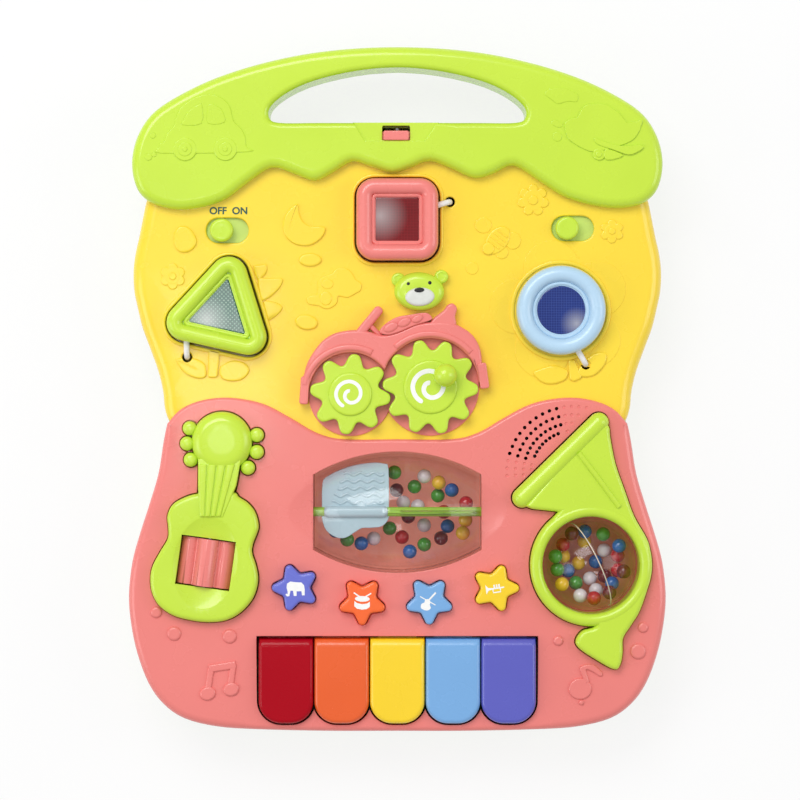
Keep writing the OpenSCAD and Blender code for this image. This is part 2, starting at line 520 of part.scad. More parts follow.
function star_points(grow) = smooth_loop([for (k = [0:4]) each [spin2([star_r + 1.1 + grow, 0], -72 * k),
    spin2([star_notch_r + grow, 0], -72 * k - 36)]], 4);
module star_outline(grow) polygon(star_points(grow));
module star_button(k) color(STAR_COLOURS[k]) translate([STAR_PLACES[k][0], STAR_PLACES[k][1], 0]) rotate(STAR_PLACES[k][2]) {
    plate(lower_z - skin - 2.4, star_z - 1.8) star_outline(0);
    plate(star_z - 1.8, star_z - 0.8) star_outline(-0.8);
    plate(star_z - 0.8, star_z) star_outline(-1.9);
    plate(lower_z - skin - 2.4, lower_z - skin - 0.2) circle(r = star_notch_r + 3, $fn = 48);
    translate([0, 0, PAD_TOP + 0.8]) cylinder(r = 3, h = lower_z - skin - PAD_TOP - 2.4, $fn = 32);
}

// Top cover with the handle's front half
module top_cover() color(LIME) difference() {
    union() {
        edge_band(cover_line, [for (p = cover_line) edge_section(upper_z, cover_z, cover_roll, cover_roll + 1.2)]);
        edge_band(opening_line, [for (p = opening_line) edge_section(upper_z, cover_z, 3, 3.8)]);
        plate(cover_z - skin, cover_z) difference() {
            offset(delta = -cover_roll - 0.4) polygon(cover_line);
            polygon(inset(reversed(opening_line), -3.4));
        }
        plate(parting_z, upper_z + 0.8) difference() {
            wall_of(cover_line, skin);
            translate([-150, -100]) square([300, 201.5]);
            translate([-118, 0]) square([236, 125]);
        }
        plate(parting_z, upper_z + 0.8) wall_of(opening_line, skin);
        for (p = COVER_SCREWS) front_boss(p, cover_z);
    }
    for (p = COVER_SCREWS) front_boss_hole(p);
    // Slot of the release button and the shallow recess round it
    plate(cover_z - 6, cover_z + 1) translate(LATCH_AT) square([14.4, 7.5], center = true);
    plate(cover_z - 0.8, cover_z + 1) polygon([[-23.5, 138.8], [22, 138.8], [14.5, 128.7], [-17, 128.7]]);
}

// Pink bicycle over the two gears: recess discs, arch, saddle and handlebar
module bicycle_frame() color(PINK) difference() {
    union() {
        plate(upper_z, upper_z + 1.4) {
            translate(SMALL_GEAR_AT) circle(r = small_tip_r + 0.9, $fn = 96);
            translate(BIG_GEAR_AT) circle(r = big_tip_r + 0.6, $fn = 96);
        }
        plate(upper_z, gear_z + 4.4) difference() {
            polygon(smooth_loop(ARCH, 2));
            gear_discs(0.7, 0.4);
        }
        plate(upper_z, gear_z + 5) {
            translate([-48.2, -0.6]) rotate(-4) square([4.6, 14.4], center = true);
            translate([44.6, 7]) rotate(8) square([4.8, 13.4], center = true);
        }
        plate(upper_z, gear_z + 4) {
            polygon([[17, 33], [18.7, 36.8], [23.8, 40.8], [26, 43.7], [28.8, 44.6], [31, 42.1], [30.1, 37.7], [30.4, 33], [24, 30]]);
        }
        bar([-20.5, 28, gear_z + 1.5], [-8.8, 40.6, gear_z + 2.4], 2.3);
        bar([-14.4, 33.4, gear_z + 1.5], [-8.4, 27.4, gear_z + 1.5], 1.3);
        saddle();
    }
    for (p = [SMALL_GEAR_AT, BIG_GEAR_AT]) translate([p[0], p[1], upper_z - 1]) cylinder(r = post_bore_r, h = 10, $fn = 48);
}
module gear_discs(ds, db) {
    translate(SMALL_GEAR_AT) circle(r = small_tip_r + ds, $fn = 96);
    translate(BIG_GEAR_AT) circle(r = big_tip_r + db, $fn = 96);
}
// Outline of the arch, clockwise from its left foot
ARCH = [[-48.3, 8.1], [-46.1, 15], [-41.7, 21.9], [-37.3, 26.4], [-31, 29.5], [-22.2, 30.8], [-15, 30], [-9, 28.2],
    [-3, 28.8], [3, 31], [10, 34], [18, 35], [24.6, 35], [30.7, 33.6], [38.3, 28.9], [42.7, 21.9], [44, 13.7], [44, 4],
    [17, 3], [-24, -2], [-48.3, 0]];
module saddle() domed(smooth_loop([[-8.5, 31], [-5.4, 34.6], [-0.4, 37.6], [7, 38.6], [15, 39.8], [17.2, 37.4],
    [11, 33.2], [5, 30.4], [0.5, 28.4], [-5.8, 27.6]], 2), [3.5, 34], upper_z, gear_z + 2.4, gear_z + 5.6, 3);

// Gears: rounded teeth with a formula for the rim
function tooth_wave(c) = c * (1.28 - 0.28 * c * c) + 0.12 * (1 - c * c);
function gear_points(teeth, tip_r, tip_angle) = [for (i = [0:teeth * 12 - 1]) let(a = -360 * i / (teeth * 12))
    spin2([tip_r - tooth_h / 2 + tooth_h / 2 * tooth_wave(cos(teeth * a)), 0], a + tip_angle)];
module gear(teeth, tip_r, tip_angle, hub_r) {
    plate(gear_z, gear_z + gear_t - 0.6) polygon(gear_points(teeth, tip_r, tip_angle));
    plate(gear_z + gear_t - 0.6, gear_z + gear_t) polygon(inset(gear_points(teeth, tip_r, tip_angle), 0.5));
    translate([0, 0, gear_z + gear_t]) cylinder(r1 = hub_r, r2 = hub_r - 1, h = 1.2, $fn = 96);
    // Stub shaft through the front, drilled for its screw
    difference() {
        translate([0, 0, upper_z - skin - 1.2]) cylinder(r = post_r, h = gear_z + 1 - upper_z + skin + 1.2, $fn = 48);
        translate([0, 0, upper_z - skin - 2]) cylinder(r = 1.3, h = 5, $fn = 24);
    }
}
KNOB_OFFSET = [7.6, 6];
module big_gear() color(LIME) translate(BIG_GEAR_AT) {
    gear(big_teeth, big_tip_r, big_tip_angle, 14);
    translate([KNOB_OFFSET[0], KNOB_OFFSET[1], gear_z + gear_t]) {
        cylinder(r = 6.1, h = 6, $fn = 48);
        translate([0, 0, 6]) sphere(r = 6.1, $fn = 48);
    }
}
module small_gear() color(LIME) translate(SMALL_GEAR_AT) gear(small_teeth, small_tip_r, SMALL_TIP_ANGLE, 11.3);
// Screw and washer that hold a gear's shaft from inside
module gear_screw() color(STEEL) {
    translate([0, 0, upper_z - skin - 2.2]) cylinder(r = 5.5, h = 1, $fn = 32);
    translate([0, 0, upper_z - skin - 4]) cylinder(r = 2.8, h = 1.8, $fn = 32);
    translate([0, 0, upper_z - skin - 2.2]) cylinder(r = 1.25, h = 4, $fn = 24);
}

// Bear's head, moulded apart and pressed on the upper face
module bear_head() color(LIME) translate(BEAR_AT) rotate(-3) {
    domed(ellipse(13, 10, 32), [0, 0], upper_z, upper_z + 3.5, upper_z + 8, 4);
    for (s = [-1, 1]) translate([s * 11, 7.2, upper_z]) {
        cylinder(r = 3.6, h = 3.4, $fn = 32);
        translate([0, 0, 3.4]) cylinder(r1 = 3.6, r2 = 2.4, h = 1.2, $fn = 32);
    }
}

// Guitar insert, put in from behind, with a flange under the lower panel
GUITAR_BODY = [[-85.8, -53.4], [-82.2, -56], [-77.5, -59.1], [-73.8, -63.8], [-72, -70.6], [-72.8, -74.7],
    [-74.9, -80.2], [-75.4, -85.1], [-73.3, -91.9], [-72.3, -99.7], [-74.9, -108.5], [-81.1, -115.8], [-88.9, -120],
    [-98, -121], [-107.1, -120], [-116.5, -117.4], [-123.8, -112.2], [-127.4, -105.4], [-128.2, -97.9],
    [-126.9, -91.4], [-122.7, -83.6], [-119.1, -77.3], [-119, -71], [-119.4, -66], [-117.2, -60.6],
    [-112.3, -57], [-103.6, -54.2]];
GUITAR_HEAD_AT = [-91.1, -27.3];
GUITAR_HEAD_R = 15.7;
GUITAR_PEGS = [[-107.8, -20.3], [-109.2, -28.2], [-107.3, -36.6], [-73, -23.8], [-73, -32.6], [-77.6, -40.8]];
PEG_R = 3.7;
guitar_line = smooth_loop(GUITAR_BODY, 2);
module guitar_neck(grow) polygon([[-103.3 - grow, -36], [-81 + grow, -36], [-83.5 + grow, -50], [-86 + grow, -60],
    [-104 - grow, -60], [-103.5 - grow, -50]]);
module guitar_outline(grow) {
    polygon(inset(guitar_line, -grow));
    guitar_neck(grow);
    translate(GUITAR_HEAD_AT) circle(r = GUITAR_HEAD_R + grow, $fn = 64);
    for (p = GUITAR_PEGS) translate(p) circle(r = PEG_R + grow, $fn = 32);
}
INSERT_FOOT = 40.5;
guitar_top = 50.5;
module guitar_body() color(LIME) difference() {
    union() {
        edge_band(guitar_line, [for (p = guitar_line) edge_section(INSERT_FOOT, guitar_top, 2.6, 4)]);
        plate(guitar_top - skin, guitar_top) polygon(inset(guitar_line, 3));
        plate(INSERT_FOOT, lower_z - skin) difference() {
            guitar_outline(2.4);
            guitar_outline(-2);
        }
        plate(INSERT_FOOT, guitar_top - 1) difference() {
            guitar_neck(0);
            guitar_neck(-2);
        }
        plate(guitar_top - 3, guitar_top - 1) guitar_neck(0);
        translate(GUITAR_HEAD_AT) domed(ellipse(GUITAR_HEAD_R, GUITAR_HEAD_R, 40), [0, 0], INSERT_FOOT, guitar_top - 3,
            guitar_top + 2, 4);
        for (p = GUITAR_PEGS) translate(p) {
            translate([0, 0, INSERT_FOOT]) cylinder(r = PEG_R, h = 6.5, $fn = 32);
            translate([0, 0, INSERT_FOOT + 6.5]) cylinder(r1 = PEG_R, r2 = PEG_R - 1.2, h = 1.3, $fn = 32);
        }
        // Four strings on the neck
        for (k = [0:3]) bar([-99.2 + k * 4.6, -40.6, guitar_top - 0.9], [-101.6 + k * 4, -65, guitar_top - 0.3], 1.2, 16);
        // Lugs that carry the roller's axle
        for (s = [-1, 1]) translate([ROLLER_AT[0], ROLLER_AT[1], 0]) rotate(ROLLER_TURN)
            translate([-4, s * 14.4 - 1.2, roller_z - 4]) cube([8, 2.4, guitar_top - 1 - roller_z + 4]);
    }
    translate([ROLLER_AT[0], ROLLER_AT[1], INSERT_FOOT - 1]) rotate(ROLLER_TURN) translate([-14.2, -12.9, 0])
        cube([28.4, 25.8, 20]);
    translate([ROLLER_AT[0], ROLLER_AT[1], roller_z]) rotate(ROLLER_TURN) rotate([90, 0, 0])
        cylinder(r = 2.05, h = 40, center = true, $fn = 40);
    plate(guitar_top - DISH, guitar_top + 1) translate(ROLLER_AT) rotate(ROLLER_TURN) polygon(ellipse(17, 24.5, 64));
}
// Fluted roller and its steel axle, along the guitar
ROLLER_LOBES = 6;
module guitar_roller() color(PINK) translate([ROLLER_AT[0], ROLLER_AT[1], roller_z]) rotate(ROLLER_TURN) rotate([90, 0, 0])
    translate([0, 0, -12.2]) linear_extrude(24.4) difference() {
        union() {
            circle(r = roller_r - 4, $fn = 64);
            ring_of(ROLLER_LOBES, roller_r - 5.4, 90) circle(r = 5.4, $fn = 40);
        }
        circle(r = 1.98, $fn = 40);
    }
module roller_axle() color(STEEL) translate([ROLLER_AT[0], ROLLER_AT[1], roller_z]) rotate(ROLLER_TURN) rotate([90, 0, 0])
    cylinder(r = 1.98, h = 32, center = true, $fn = 40);

// Horn insert: bell with a thick rim, ring round the bead ball, tail with the mouthpiece
HORN_RIM = [[64.8, -56.4], [104.6, -17.3]];
HORN_RIM_R = 5.2;
HORN_RING = [25.2, 31.7];
HORN_BELL = [[104, -16], [109.6, -19], [110.6, -25.3], [113.3, -38.8], [118, -52.3], [122.9, -65.8], [131.6, -77.3],
    [130.4, -80], [100, -84], [76, -72], [83.4, -63.6], [70, -62.2], [66, -60.6]];
HORN_TAIL = [[130.8, -100.5], [126, -114.8], [121, -123.1], [117.2, -129.4], [117, -136.5], [115.6, -143.4], [112.4, -145.4],
    [103, -140.4], [94.4, -134.6], [92.6, -130.4], [96.1, -125.4], [103.1, -122.6], [108, -112]];
horn_top = 51;
module horn_outline(grow) {
    translate(BALL_AT) circle(r = HORN_RING[1] + grow, $fn = 96);
    polygon(inset(HORN_BELL, -grow));
    polygon(inset(smooth_loop(HORN_TAIL, 2), -grow));
    for (p = HORN_RIM) translate(p) circle(r = HORN_RIM_R + grow, $fn = 48);
    translate((HORN_RIM[0] + HORN_RIM[1]) / 2) rotate(44.5)
        square([norm(HORN_RIM[1] - HORN_RIM[0]), 2 * (HORN_RIM_R + grow)], center = true);
}
module horn_body() color(LIME) {
    difference() {
        union() {
            plate(INSERT_FOOT, horn_top - 4) horn_outline(0);
            plate(horn_top - 4, horn_top - 2.6) horn_outline(-0.8);
            plate(INSERT_FOOT, lower_z - skin) intersection() {
                horn_outline(2.2);
                offset(delta = -8) polygon(lower_line);
            }
        }
        plate(INSERT_FOOT - 1, horn_top - 5) difference() {
            horn_outline(-2);
            translate(BALL_AT) circle(r = HORN_RING[1], $fn = 96);
        }
        translate([BALL_AT[0], BALL_AT[1], 0]) cylinder(r = HORN_RING[0] + 0.8, h = 80, $fn = 96);
    }
    difference() {
        translate([BALL_AT[0], BALL_AT[1], 0]) rotate_extrude($fn = 96) horn_ring_section();
        ball_pins(0.05, 40);
    }
    hull() for (p = HORN_RIM) translate([p[0], p[1], horn_top - 4]) sphere(r = HORN_RIM_R, $fn = 28);
}
module horn_ring_section() {
    translate([HORN_RING[0], INSERT_FOOT - 9]) square([2.2, horn_top + 5 - INSERT_FOOT]);
    translate([HORN_RING[0], INSERT_FOOT]) square([HORN_RING[1] - HORN_RING[0], horn_top - 3.2 - INSERT_FOOT]);
    translate([(HORN_RING[0] + HORN_RING[1]) / 2, horn_top - 3.25]) circle(r = (HORN_RING[1] - HORN_RING[0]) / 2, $fn = 32);
}
BALL_PIN_R = 1.9;
module ball_pins(clear, length) translate([BALL_AT[0], BALL_AT[1], ball_z]) rotate([90, 0, BALL_AXIS_ANGLE + 90])
    cylinder(r = BALL_PIN_R + clear, h = 2 * length, center = true, $fn = 40);
module ball_shell() color(CLEAR) {
    difference() {
        union() {
            translate([BALL_AT[0], BALL_AT[1], ball_z]) sphere(r = ball_r, $fn = 96);
            // Welded seam of the two halves, which holds the pins
            translate([BALL_AT[0], BALL_AT[1], ball_z]) rotate([0, 0, BALL_AXIS_ANGLE]) rotate([78, 0, 0])
                cylinder(r = ball_r + 0.5, h = 1.2, center = true, $fn = 96);
            ball_pins(0, ball_r + 2.6);
        }
        translate([BALL_AT[0], BALL_AT[1], ball_z]) sphere(r = ball_r - 1.4, $fn = 96);
    }
}

// Bead drum
DRUM_HALF = [drum_len / 2, drum_r, drum_end_r];
DRUM_WALL = 1.4;
AXLE_R = 2.5;
module drum_profile(d) polygon(concat([[0, -DRUM_HALF[0] + d]],
    [for (i = [0:14]) let(x = -DRUM_HALF[0] + d + 2 * (DRUM_HALF[0] - d) * i / 14) [arc_height(x, DRUM_HALF) - d, x]],
    [[0, DRUM_HALF[0] - d]]));
module on_drum_axis() translate([DRUM_AT[0], DRUM_AT[1], drum_z]) rotate([0, 90, 0]) children();
module drum_shell() color(CLEAR) on_drum_axis() difference() {
    rotate_extrude($fn = 96) drum_profile(0);
    rotate_extrude($fn = 96) drum_profile(DRUM_WALL);
    cylinder(r = AXLE_R, h = 200, center = true, $fn = 40);
}
// Green axle with its upright vane in the right half
VANE_END = 39;
VANE_GAP = 4;
function vane_x(i) = 1.5 + (VANE_END - 1.5) * i / 8;
module drum_axle() color([0.35, 0.66, 0.32]) on_drum_axis() {
    cylinder(r = AXLE_R, h = drum_len + 11, center = true, $fn = 40);
    rotate([90, 0, 0]) plate(-0.9, 0.9) polygon(concat([for (i = [0:8]) [arc_height(vane_x(i), DRUM_HALF) - VANE_GAP, vane_x(i)]],
        [for (i = [8:-1:0]) [VANE_GAP - arc_height(vane_x(i), DRUM_HALF), vane_x(i)]]));
}
// Pale blue paddle in the left half, flat like an oar blade with ribs
module drum_paddle() color(PALE_BLUE) translate([DRUM_AT[0], DRUM_AT[1], drum_z]) difference() {
    union() {
        translate([0, 0, -0.9]) linear_extrude(1.8) polygon(PADDLE);
        for (k = [0:3]) translate([0, 4.5 + k * 4, 0.6]) wavy_rib();
        rotate([0, 90, 0]) translate([0, 0, -39.8]) cylinder(r = AXLE_R + 1.5, h = 37, $fn = 40);
    }
    rotate([0, 90, 0]) cylinder(r = AXLE_R, h = 200, center = true, $fn = 40);
}
PADDLE = [[-39.5, 3], [-39.5, 15.4], [-34, 18.6], [-12, 20.8], [-3, 20.2], [-1.6, 14], [-1.6, -8], [-5, -14.6],
    [-14, -18.2], [-30, -18.2], [-38.6, -13]];
module wavy_rib() linear_extrude(1.1) polygon(concat([for (i = [0:16]) [-36 + i * 2, 0.8 * sin(i * 60) + 0.6]],
    [for (i = [16:-1:0]) [-36 + i * 2, 0.8 * sin(i * 60) - 0.6]]));
// Beads resting in the bottom of the drum, in rows along it
BEAD_GAP = 0.35;
bead_row_r = drum_r - DRUM_WALL - bead_d / 2 - 1.2;
module bead(k) color(BEAD_COLOURS[k % 5]) sphere(d = bead_d, $fn = 32);
module drum_beads() translate([DRUM_AT[0], DRUM_AT[1], drum_z])
    for (row = [-2:1], k = [0:5]) let(a = (row + 0.5) * 2.6 * asin((bead_d + BEAD_GAP) / 2 / (bead_row_r - 3)),
        x = (k - 2.5) * (bead_d + BEAD_GAP) + (row % 2 == 0 ? 1.6 : -1.6) + 6,
        r = arc_height(abs(x) + bead_d / 2, DRUM_HALF) - DRUM_WALL - bead_d / 2 - 0.4)
        translate([x, r * sin(a), -r * cos(a)]) bead(k * 3 + row + 5);
module drum_brackets() color(PINK) for (s = [-1, 1]) difference() {
    translate([s * (drum_len / 2 + 4.8) - 1.4, DRUM_AT[1] - 7, drum_z - 6]) cube([2.8, 14, lower_z - skin - drum_z + 6]);
    translate([0, DRUM_AT[1], drum_z]) rotate([0, 90, 0]) cylinder(r = AXLE_R + 0.06, h = 200, center = true, $fn = 40);
}

// Bead ball: rings of beads lying in the lower half
module ball_beads() translate([BALL_AT[0], BALL_AT[1], ball_z]) for (ring = BALL_RINGS, k = [0:ring[1] - 1])
    let(r = ball_r - 1.4 - bead_d / 2 - 0.4, s = ring[0], a = 360 * k / ring[1] + ring[2])
        translate([r * sin(s) * cos(a), r * sin(s) * sin(a), -r * cos(s)]) bead(k * 2 + ring[1]);
BALL_RINGS = [[0, 1, 0], [26, 6, 10], [51, 11, 0]];

// Shape blocks: hollow prisms with a thick rolled rim and a window in the middle
BLOCK_FOOT = 28.4;
RIM_R = 4.2;
module block_ring(side_points, corner_r) {
    // Bar of round section round a polygon whose corners are turned with corner_r
    n = len(side_points);
    for (i = [0:n - 1]) {
        a = side_points[i];
        b = side_points[(i + 1) % n];
        out = unit(turned_left(b - a));
        bar([a[0] + out[0] * corner_r, a[1] + out[1] * corner_r, 0], [b[0] + out[0] * corner_r, b[1] + out[1] * corner_r, 0],
            RIM_R, 40);
        start = atan2(out[1], out[0]);
        translate(a) rotate(start) rotate_extrude(angle = 360 / n, $fn = 64) translate([corner_r, 0]) circle(r = RIM_R, $fn = 40);
    }
}
// Section of the same rim where it is swept along an outline
function rim_section() = concat([[0, block_z - RIM_R - 3]],
    [for (i = [0:8]) [RIM_R - RIM_R * cos(22.5 * i), block_z - RIM_R + RIM_R * sin(22.5 * i)]],
    [[2 * RIM_R, block_z - RIM_R - 3]]);
function square_corners(w, r) = [for (c = [[1, 1], [1, -1], [-1, -1], [-1, 1]]) c * (w / 2 - r)];
// A block from its outline module: children(0) outer, (1) inner, (2) window
module block_walls() {
    difference() {
        plate(BLOCK_FOOT, block_z - RIM_R) children(0);
        plate(BLOCK_FOOT - 1, block_z - RIM_R - 4) children(1);
        plate(BLOCK_FOOT, block_z + 1) children(2);
    }
    difference() {
        plate(block_z - RIM_R - 4, block_z - RIM_R + 1.4) children(3);
        plate(block_z - RIM_R - 5, block_z + 1) children(2);
    }
}
module square_block() color(PINK) difference() {
    translate([SQUARE_AT[0], SQUARE_AT[1], 0]) {
        block_walls() {
            rounded_square(square_w, 9.5);
            rounded_square(square_w - 5, 7);
            rounded_square(22.4, 1.2);
            rounded_square(27, 3);
        }
        translate([0, 0, block_z - RIM_R]) block_ring(square_corners(square_w, 9.5), 9.5 - RIM_R);
    }
    tether_socket(0);
}
module triangle_block() color(LIME) difference() {
    translate([TRIANGLE_AT[0], TRIANGLE_AT[1], 0]) rotate(TRIANGLE_TURN) {
        block_walls() {
            rounded_triangle(triangle_side, 9.5);
            rounded_triangle(triangle_side - 9, 7);
            rounded_triangle(31, 1);
            rounded_triangle(39, 2.6);
        }
        edge_band(triangle_points(triangle_side, 9.5), [for (q = triangle_points(triangle_side, 9.5)) rim_section()]);
    }
    tether_socket(1);
}
module round_block() color(PALE_BLUE) difference() {
    translate([ROUND_AT[0], ROUND_AT[1], 0]) {
        block_walls() {
            circle(r = round_r, $fn = 96);
            circle(r = round_r - 2.5, $fn = 96);
            circle(r = 12.5, $fn = 64);
            circle(r = 15, $fn = 64);
        }
        translate([0, 0, block_z - RIM_R]) rotate_extrude($fn = 96) translate([round_r - RIM_R, 0]) circle(r = RIM_R, $fn = 40);
    }
    tether_socket(2);
}
// Lenses: a plate under the block's deck with a raised face in the window
module lens_of() {
    plate(block_z - RIM_R - 6, block_z - RIM_R - 4) children(1);
    plate(block_z - RIM_R - 4, block_z - RIM_R - 1) children(0);
}
module square_lens() color([0.43, 0, 0.04]) translate([SQUARE_AT[0], SQUARE_AT[1], 0]) lens_of() {
    rounded_square(22.2, 1.1);
    rounded_square(27, 2);
}
module triangle_lens() color([0.04, 0.35, 0.27]) translate([TRIANGLE_AT[0], TRIANGLE_AT[1], 0]) rotate(TRIANGLE_TURN) lens_of() {
    rounded_triangle(30.6, 1);
    rounded_triangle(38, 2);
}
module round_lens() color([0.06, 0.14, 0.43]) translate([ROUND_AT[0], ROUND_AT[1], 0]) lens_of() {
    circle(r = 12.4, $fn = 64);
    circle(r = 15, $fn = 64);
}
// Tethers: from the block's side over the face and down a hole to a knot inside
TETHERS = [[[19.5, 95.2], [27.4, 97.6]], [[-109.6, 26.6], [-109.5, 16.6]], [[93.6, 20.4], [98.2, 12.8]]];
TETHER_TOP = 45.4;
KNOT_Z = 13.5;
function tether_route(t) = let(a = t[0], b = t[1]) [[a[0], a[1], TETHER_TOP],
    for (f = [0.3, 0.6]) [a[0] + (b[0] - a[0]) * f, a[1] + (b[1] - a[1]) * f, TETHER_TOP + 0.5 - f],
    [a[0] + (b[0] - a[0]) * 0.88, a[1] + (b[1] - a[1]) * 0.88, TETHER_TOP - 1.2],
    [b[0], b[1], TETHER_TOP - 4], [b[0], b[1], TETHER_TOP - 10], [b[0], b[1], 24], [b[0], b[1], KNOT_Z]];
module tether(k) color("white") {
    cord(tether_route(TETHERS[k]), tether_r);
    translate([TETHERS[k][1][0], TETHERS[k][1][1], KNOT_Z]) sphere(r = 3, $fn = 24);
}
module tether_socket(k) {
    a = TETHERS[k][0];
    d = unit(TETHERS[k][1] - a);
    bar([a[0] - d[0] * 3, a[1] - d[1] * 3, TETHER_TOP], [a[0] + d[0] * 6, a[1] + d[1] * 6, TETHER_TOP], tether_r + 0.15, 24);
}

// Sliding switches
module switch_knob(at, x) color(LIME) {
    plate(upper_z - skin - 2.2, upper_z - skin - 0.2) translate([x - 0.5, at[1]]) obround(SWITCH_SLOT[0] + 9.4, SWITCH_SLOT[1] + 3);
    translate([x, at[1], upper_z - skin - 1]) cylinder(r = 6, h = 6.6, $fn = 48);
    translate([x, at[1], upper_z - skin + 5.6]) cylinder(r1 = 6, r2 = 4.6, h = 1.4, $fn = 48);
    translate([x, at[1], upper_z - skin - 5]) cylinder(r = 1.2, h = 4, $fn = 24);
}
SWITCH_X = [-91.4, 88.3];
SWITCH_Y = [SWITCH_LEFT_AT[1], SWITCH_RIGHT_AT[1]];
SWITCH_FOOT = 28;
// Cradle that holds a slide switch under the upper panel
module switch_cradle() {
    plate(SWITCH_FOOT - 1.8, SWITCH_FOOT) square([8, 21.6], center = true);
    for (s = [-1, 1]) translate([-4, s * 9.8 - 1, SWITCH_FOOT - 1.8]) cube([8, 2, upper_z - SWITCH_FOOT + 1]);
}
module slide_switches() color([0.2, 0.2, 0.22]) for (k = [0, 1]) let(y = SWITCH_Y[k])
    difference() {
        translate([SWITCH_X[k] - 4, y - 3.5, SWITCH_FOOT]) cube([15, 7, 8.4]);
        translate([SWITCH_X[k] - 2, y - 1.6, 34]) cube([11, 3.2, 5]);
    }

// Release button at the handle, its hook and its spring
CAP_Y = 131.6;
LATCH_TRAVEL = 2;
OPENING_WALL_Y = 136.3;
module release_button() color(PINK) {
    plate(cover_z - skin - 0.4, cover_z + 0.8) translate([LATCH_AT[0], CAP_Y]) square([13.2, 5], center = true);
    plate(cover_z - skin - 2.2, cover_z - skin - 0.3) translate([LATCH_AT[0], CAP_Y - 1.2]) square([17, 6.5], center = true);
    translate([-4, CAP_Y - 3, 5]) cube([8, 3, cover_z - skin - 6.5]);
    translate([-4, CAP_Y - 7.2, 5]) cube([8, 5.2, 3]);
    // Peg inside the spring
    translate([0, CAP_Y - 0.2, LATCH_SPRING_Z]) rotate([-90, 0, 0]) cylinder(r = 1.5, h = 2.4, $fn = 32);
}
// Return spring on the wall of the opening, drawn at its pressed length
LATCH_SPRING_Z = 36;
module latch_spring() color(STEEL) translate([0, OPENING_WALL_Y, LATCH_SPRING_Z]) rotate([90, 0, 0]) difference() {
    cylinder(r = 2.6, h = OPENING_WALL_Y - CAP_Y - LATCH_TRAVEL - 0.2, $fn = 32);
    cylinder(r = 1.9, h = 6, $fn = 32);
}

// Electrical parts
BOARD_Z = 23;
BOARD_POST_X = 70;
BOARD_POSTS = [-164, -104];
PAD_TOP = BOARD_Z + 5.6;
KEY_POST_Y = -152;
module circuit_board() color([0.1, 0.42, 0.25]) difference() {
    plate(BOARD_Z, BOARD_Z + 1.6) translate([-76, -170]) square([152, 73]);
    for (x = [-1, 1], y = BOARD_POSTS) translate([x * BOARD_POST_X, y, 0]) cylinder(r = 1.6, h = 60, $fn = 24);
}
module contact_pad() color([0.6, 0.6, 0.62]) {
    plate(BOARD_Z + 1.6, BOARD_Z + 2.8) translate([-66, -160]) square([132, 60.5]);
    for (k = [0:KEY_COUNT - 1]) translate([key_x(k), KEY_POST_Y, BOARD_Z + 2.8]) cylinder(r1 = 4.5, r2 = 3, h = 2.8, $fn = 32);
    for (s = STAR_PLACES) translate([s[0], s[1], BOARD_Z + 2.8]) cylinder(r1 = 4, r2 = 3, h = 1.2, $fn = 32);
}
SPEAKER_R = 20.4;
SPEAKER_Z = 29.4;
module speaker() color([0.12, 0.12, 0.13]) translate([SPEAKER_AT[0], SPEAKER_AT[1], SPEAKER_Z]) {
    difference() {
        cylinder(r = SPEAKER_R, h = 3.4, $fn = 64);
        translate([0, 0, 0.8]) cylinder(r1 = 8, r2 = SPEAKER_R - 2.9, h = 2.7, $fn = 64);
    }
    translate([0, 0, -6]) cylinder(r1 = 12, r2 = SPEAKER_R - 1.4, h = 6, $fn = 64);
}
module speaker_magnet() color(STEEL) translate([SPEAKER_AT[0], SPEAKER_AT[1], SPEAKER_Z - 11])
    cylinder(r = 11, h = 5, $fn = 64);
module batteries() color([0.2, 0.45, 0.3]) for (k = [-1:1]) translate([BATTERY_AT[0], BATTERY_AT[1] + k * BATTERY_PITCH, 10.5])
    rotate([0, k == 0 ? -90 : 90, 0]) {
        translate([0, 0, -24.6]) cylinder(r = BATTERY_R, h = 49, $fn = 48);
        translate([0, 0, 24.4]) cylinder(r = 2.6, h = 1.2, $fn = 32);
    }
module battery_springs() color(STEEL) for (k = [-1:1], s = [-1, 1]) let(spring = s == (k == 0 ? 1 : -1))
    translate([s * 28.3, BATTERY_AT[1] + k * BATTERY_PITCH, 10.5]) rotate([0, -90 * s, 0]) {
        translate([0, 0, -0.2]) cylinder(r = 5.5, h = 0.5, $fn = 32);
        if (spring) cylinder(r1 = 4.5, r2 = 3, h = 3.7, $fn = 32);
        else cylinder(r = 2, h = 2.7, $fn = 32);
    }
module window_leds() for (p = [SQUARE_AT, TRIANGLE_AT, ROUND_AT]) translate([p[0], p[1], 0]) {
    color([0.1, 0.42, 0.25]) translate([-7, -7, well_floor - skin - 1.6]) cube([14, 14, 1.6]);
    color([0.9, 0.9, 0.85]) translate([0, 0, well_floor - skin]) cylinder(r = 2.5, h = 6, $fn = 32);
    color([0.9, 0.9, 0.85]) translate([0, 0, well_floor - skin + 6]) sphere(r = 2.5, $fn = 32);
}

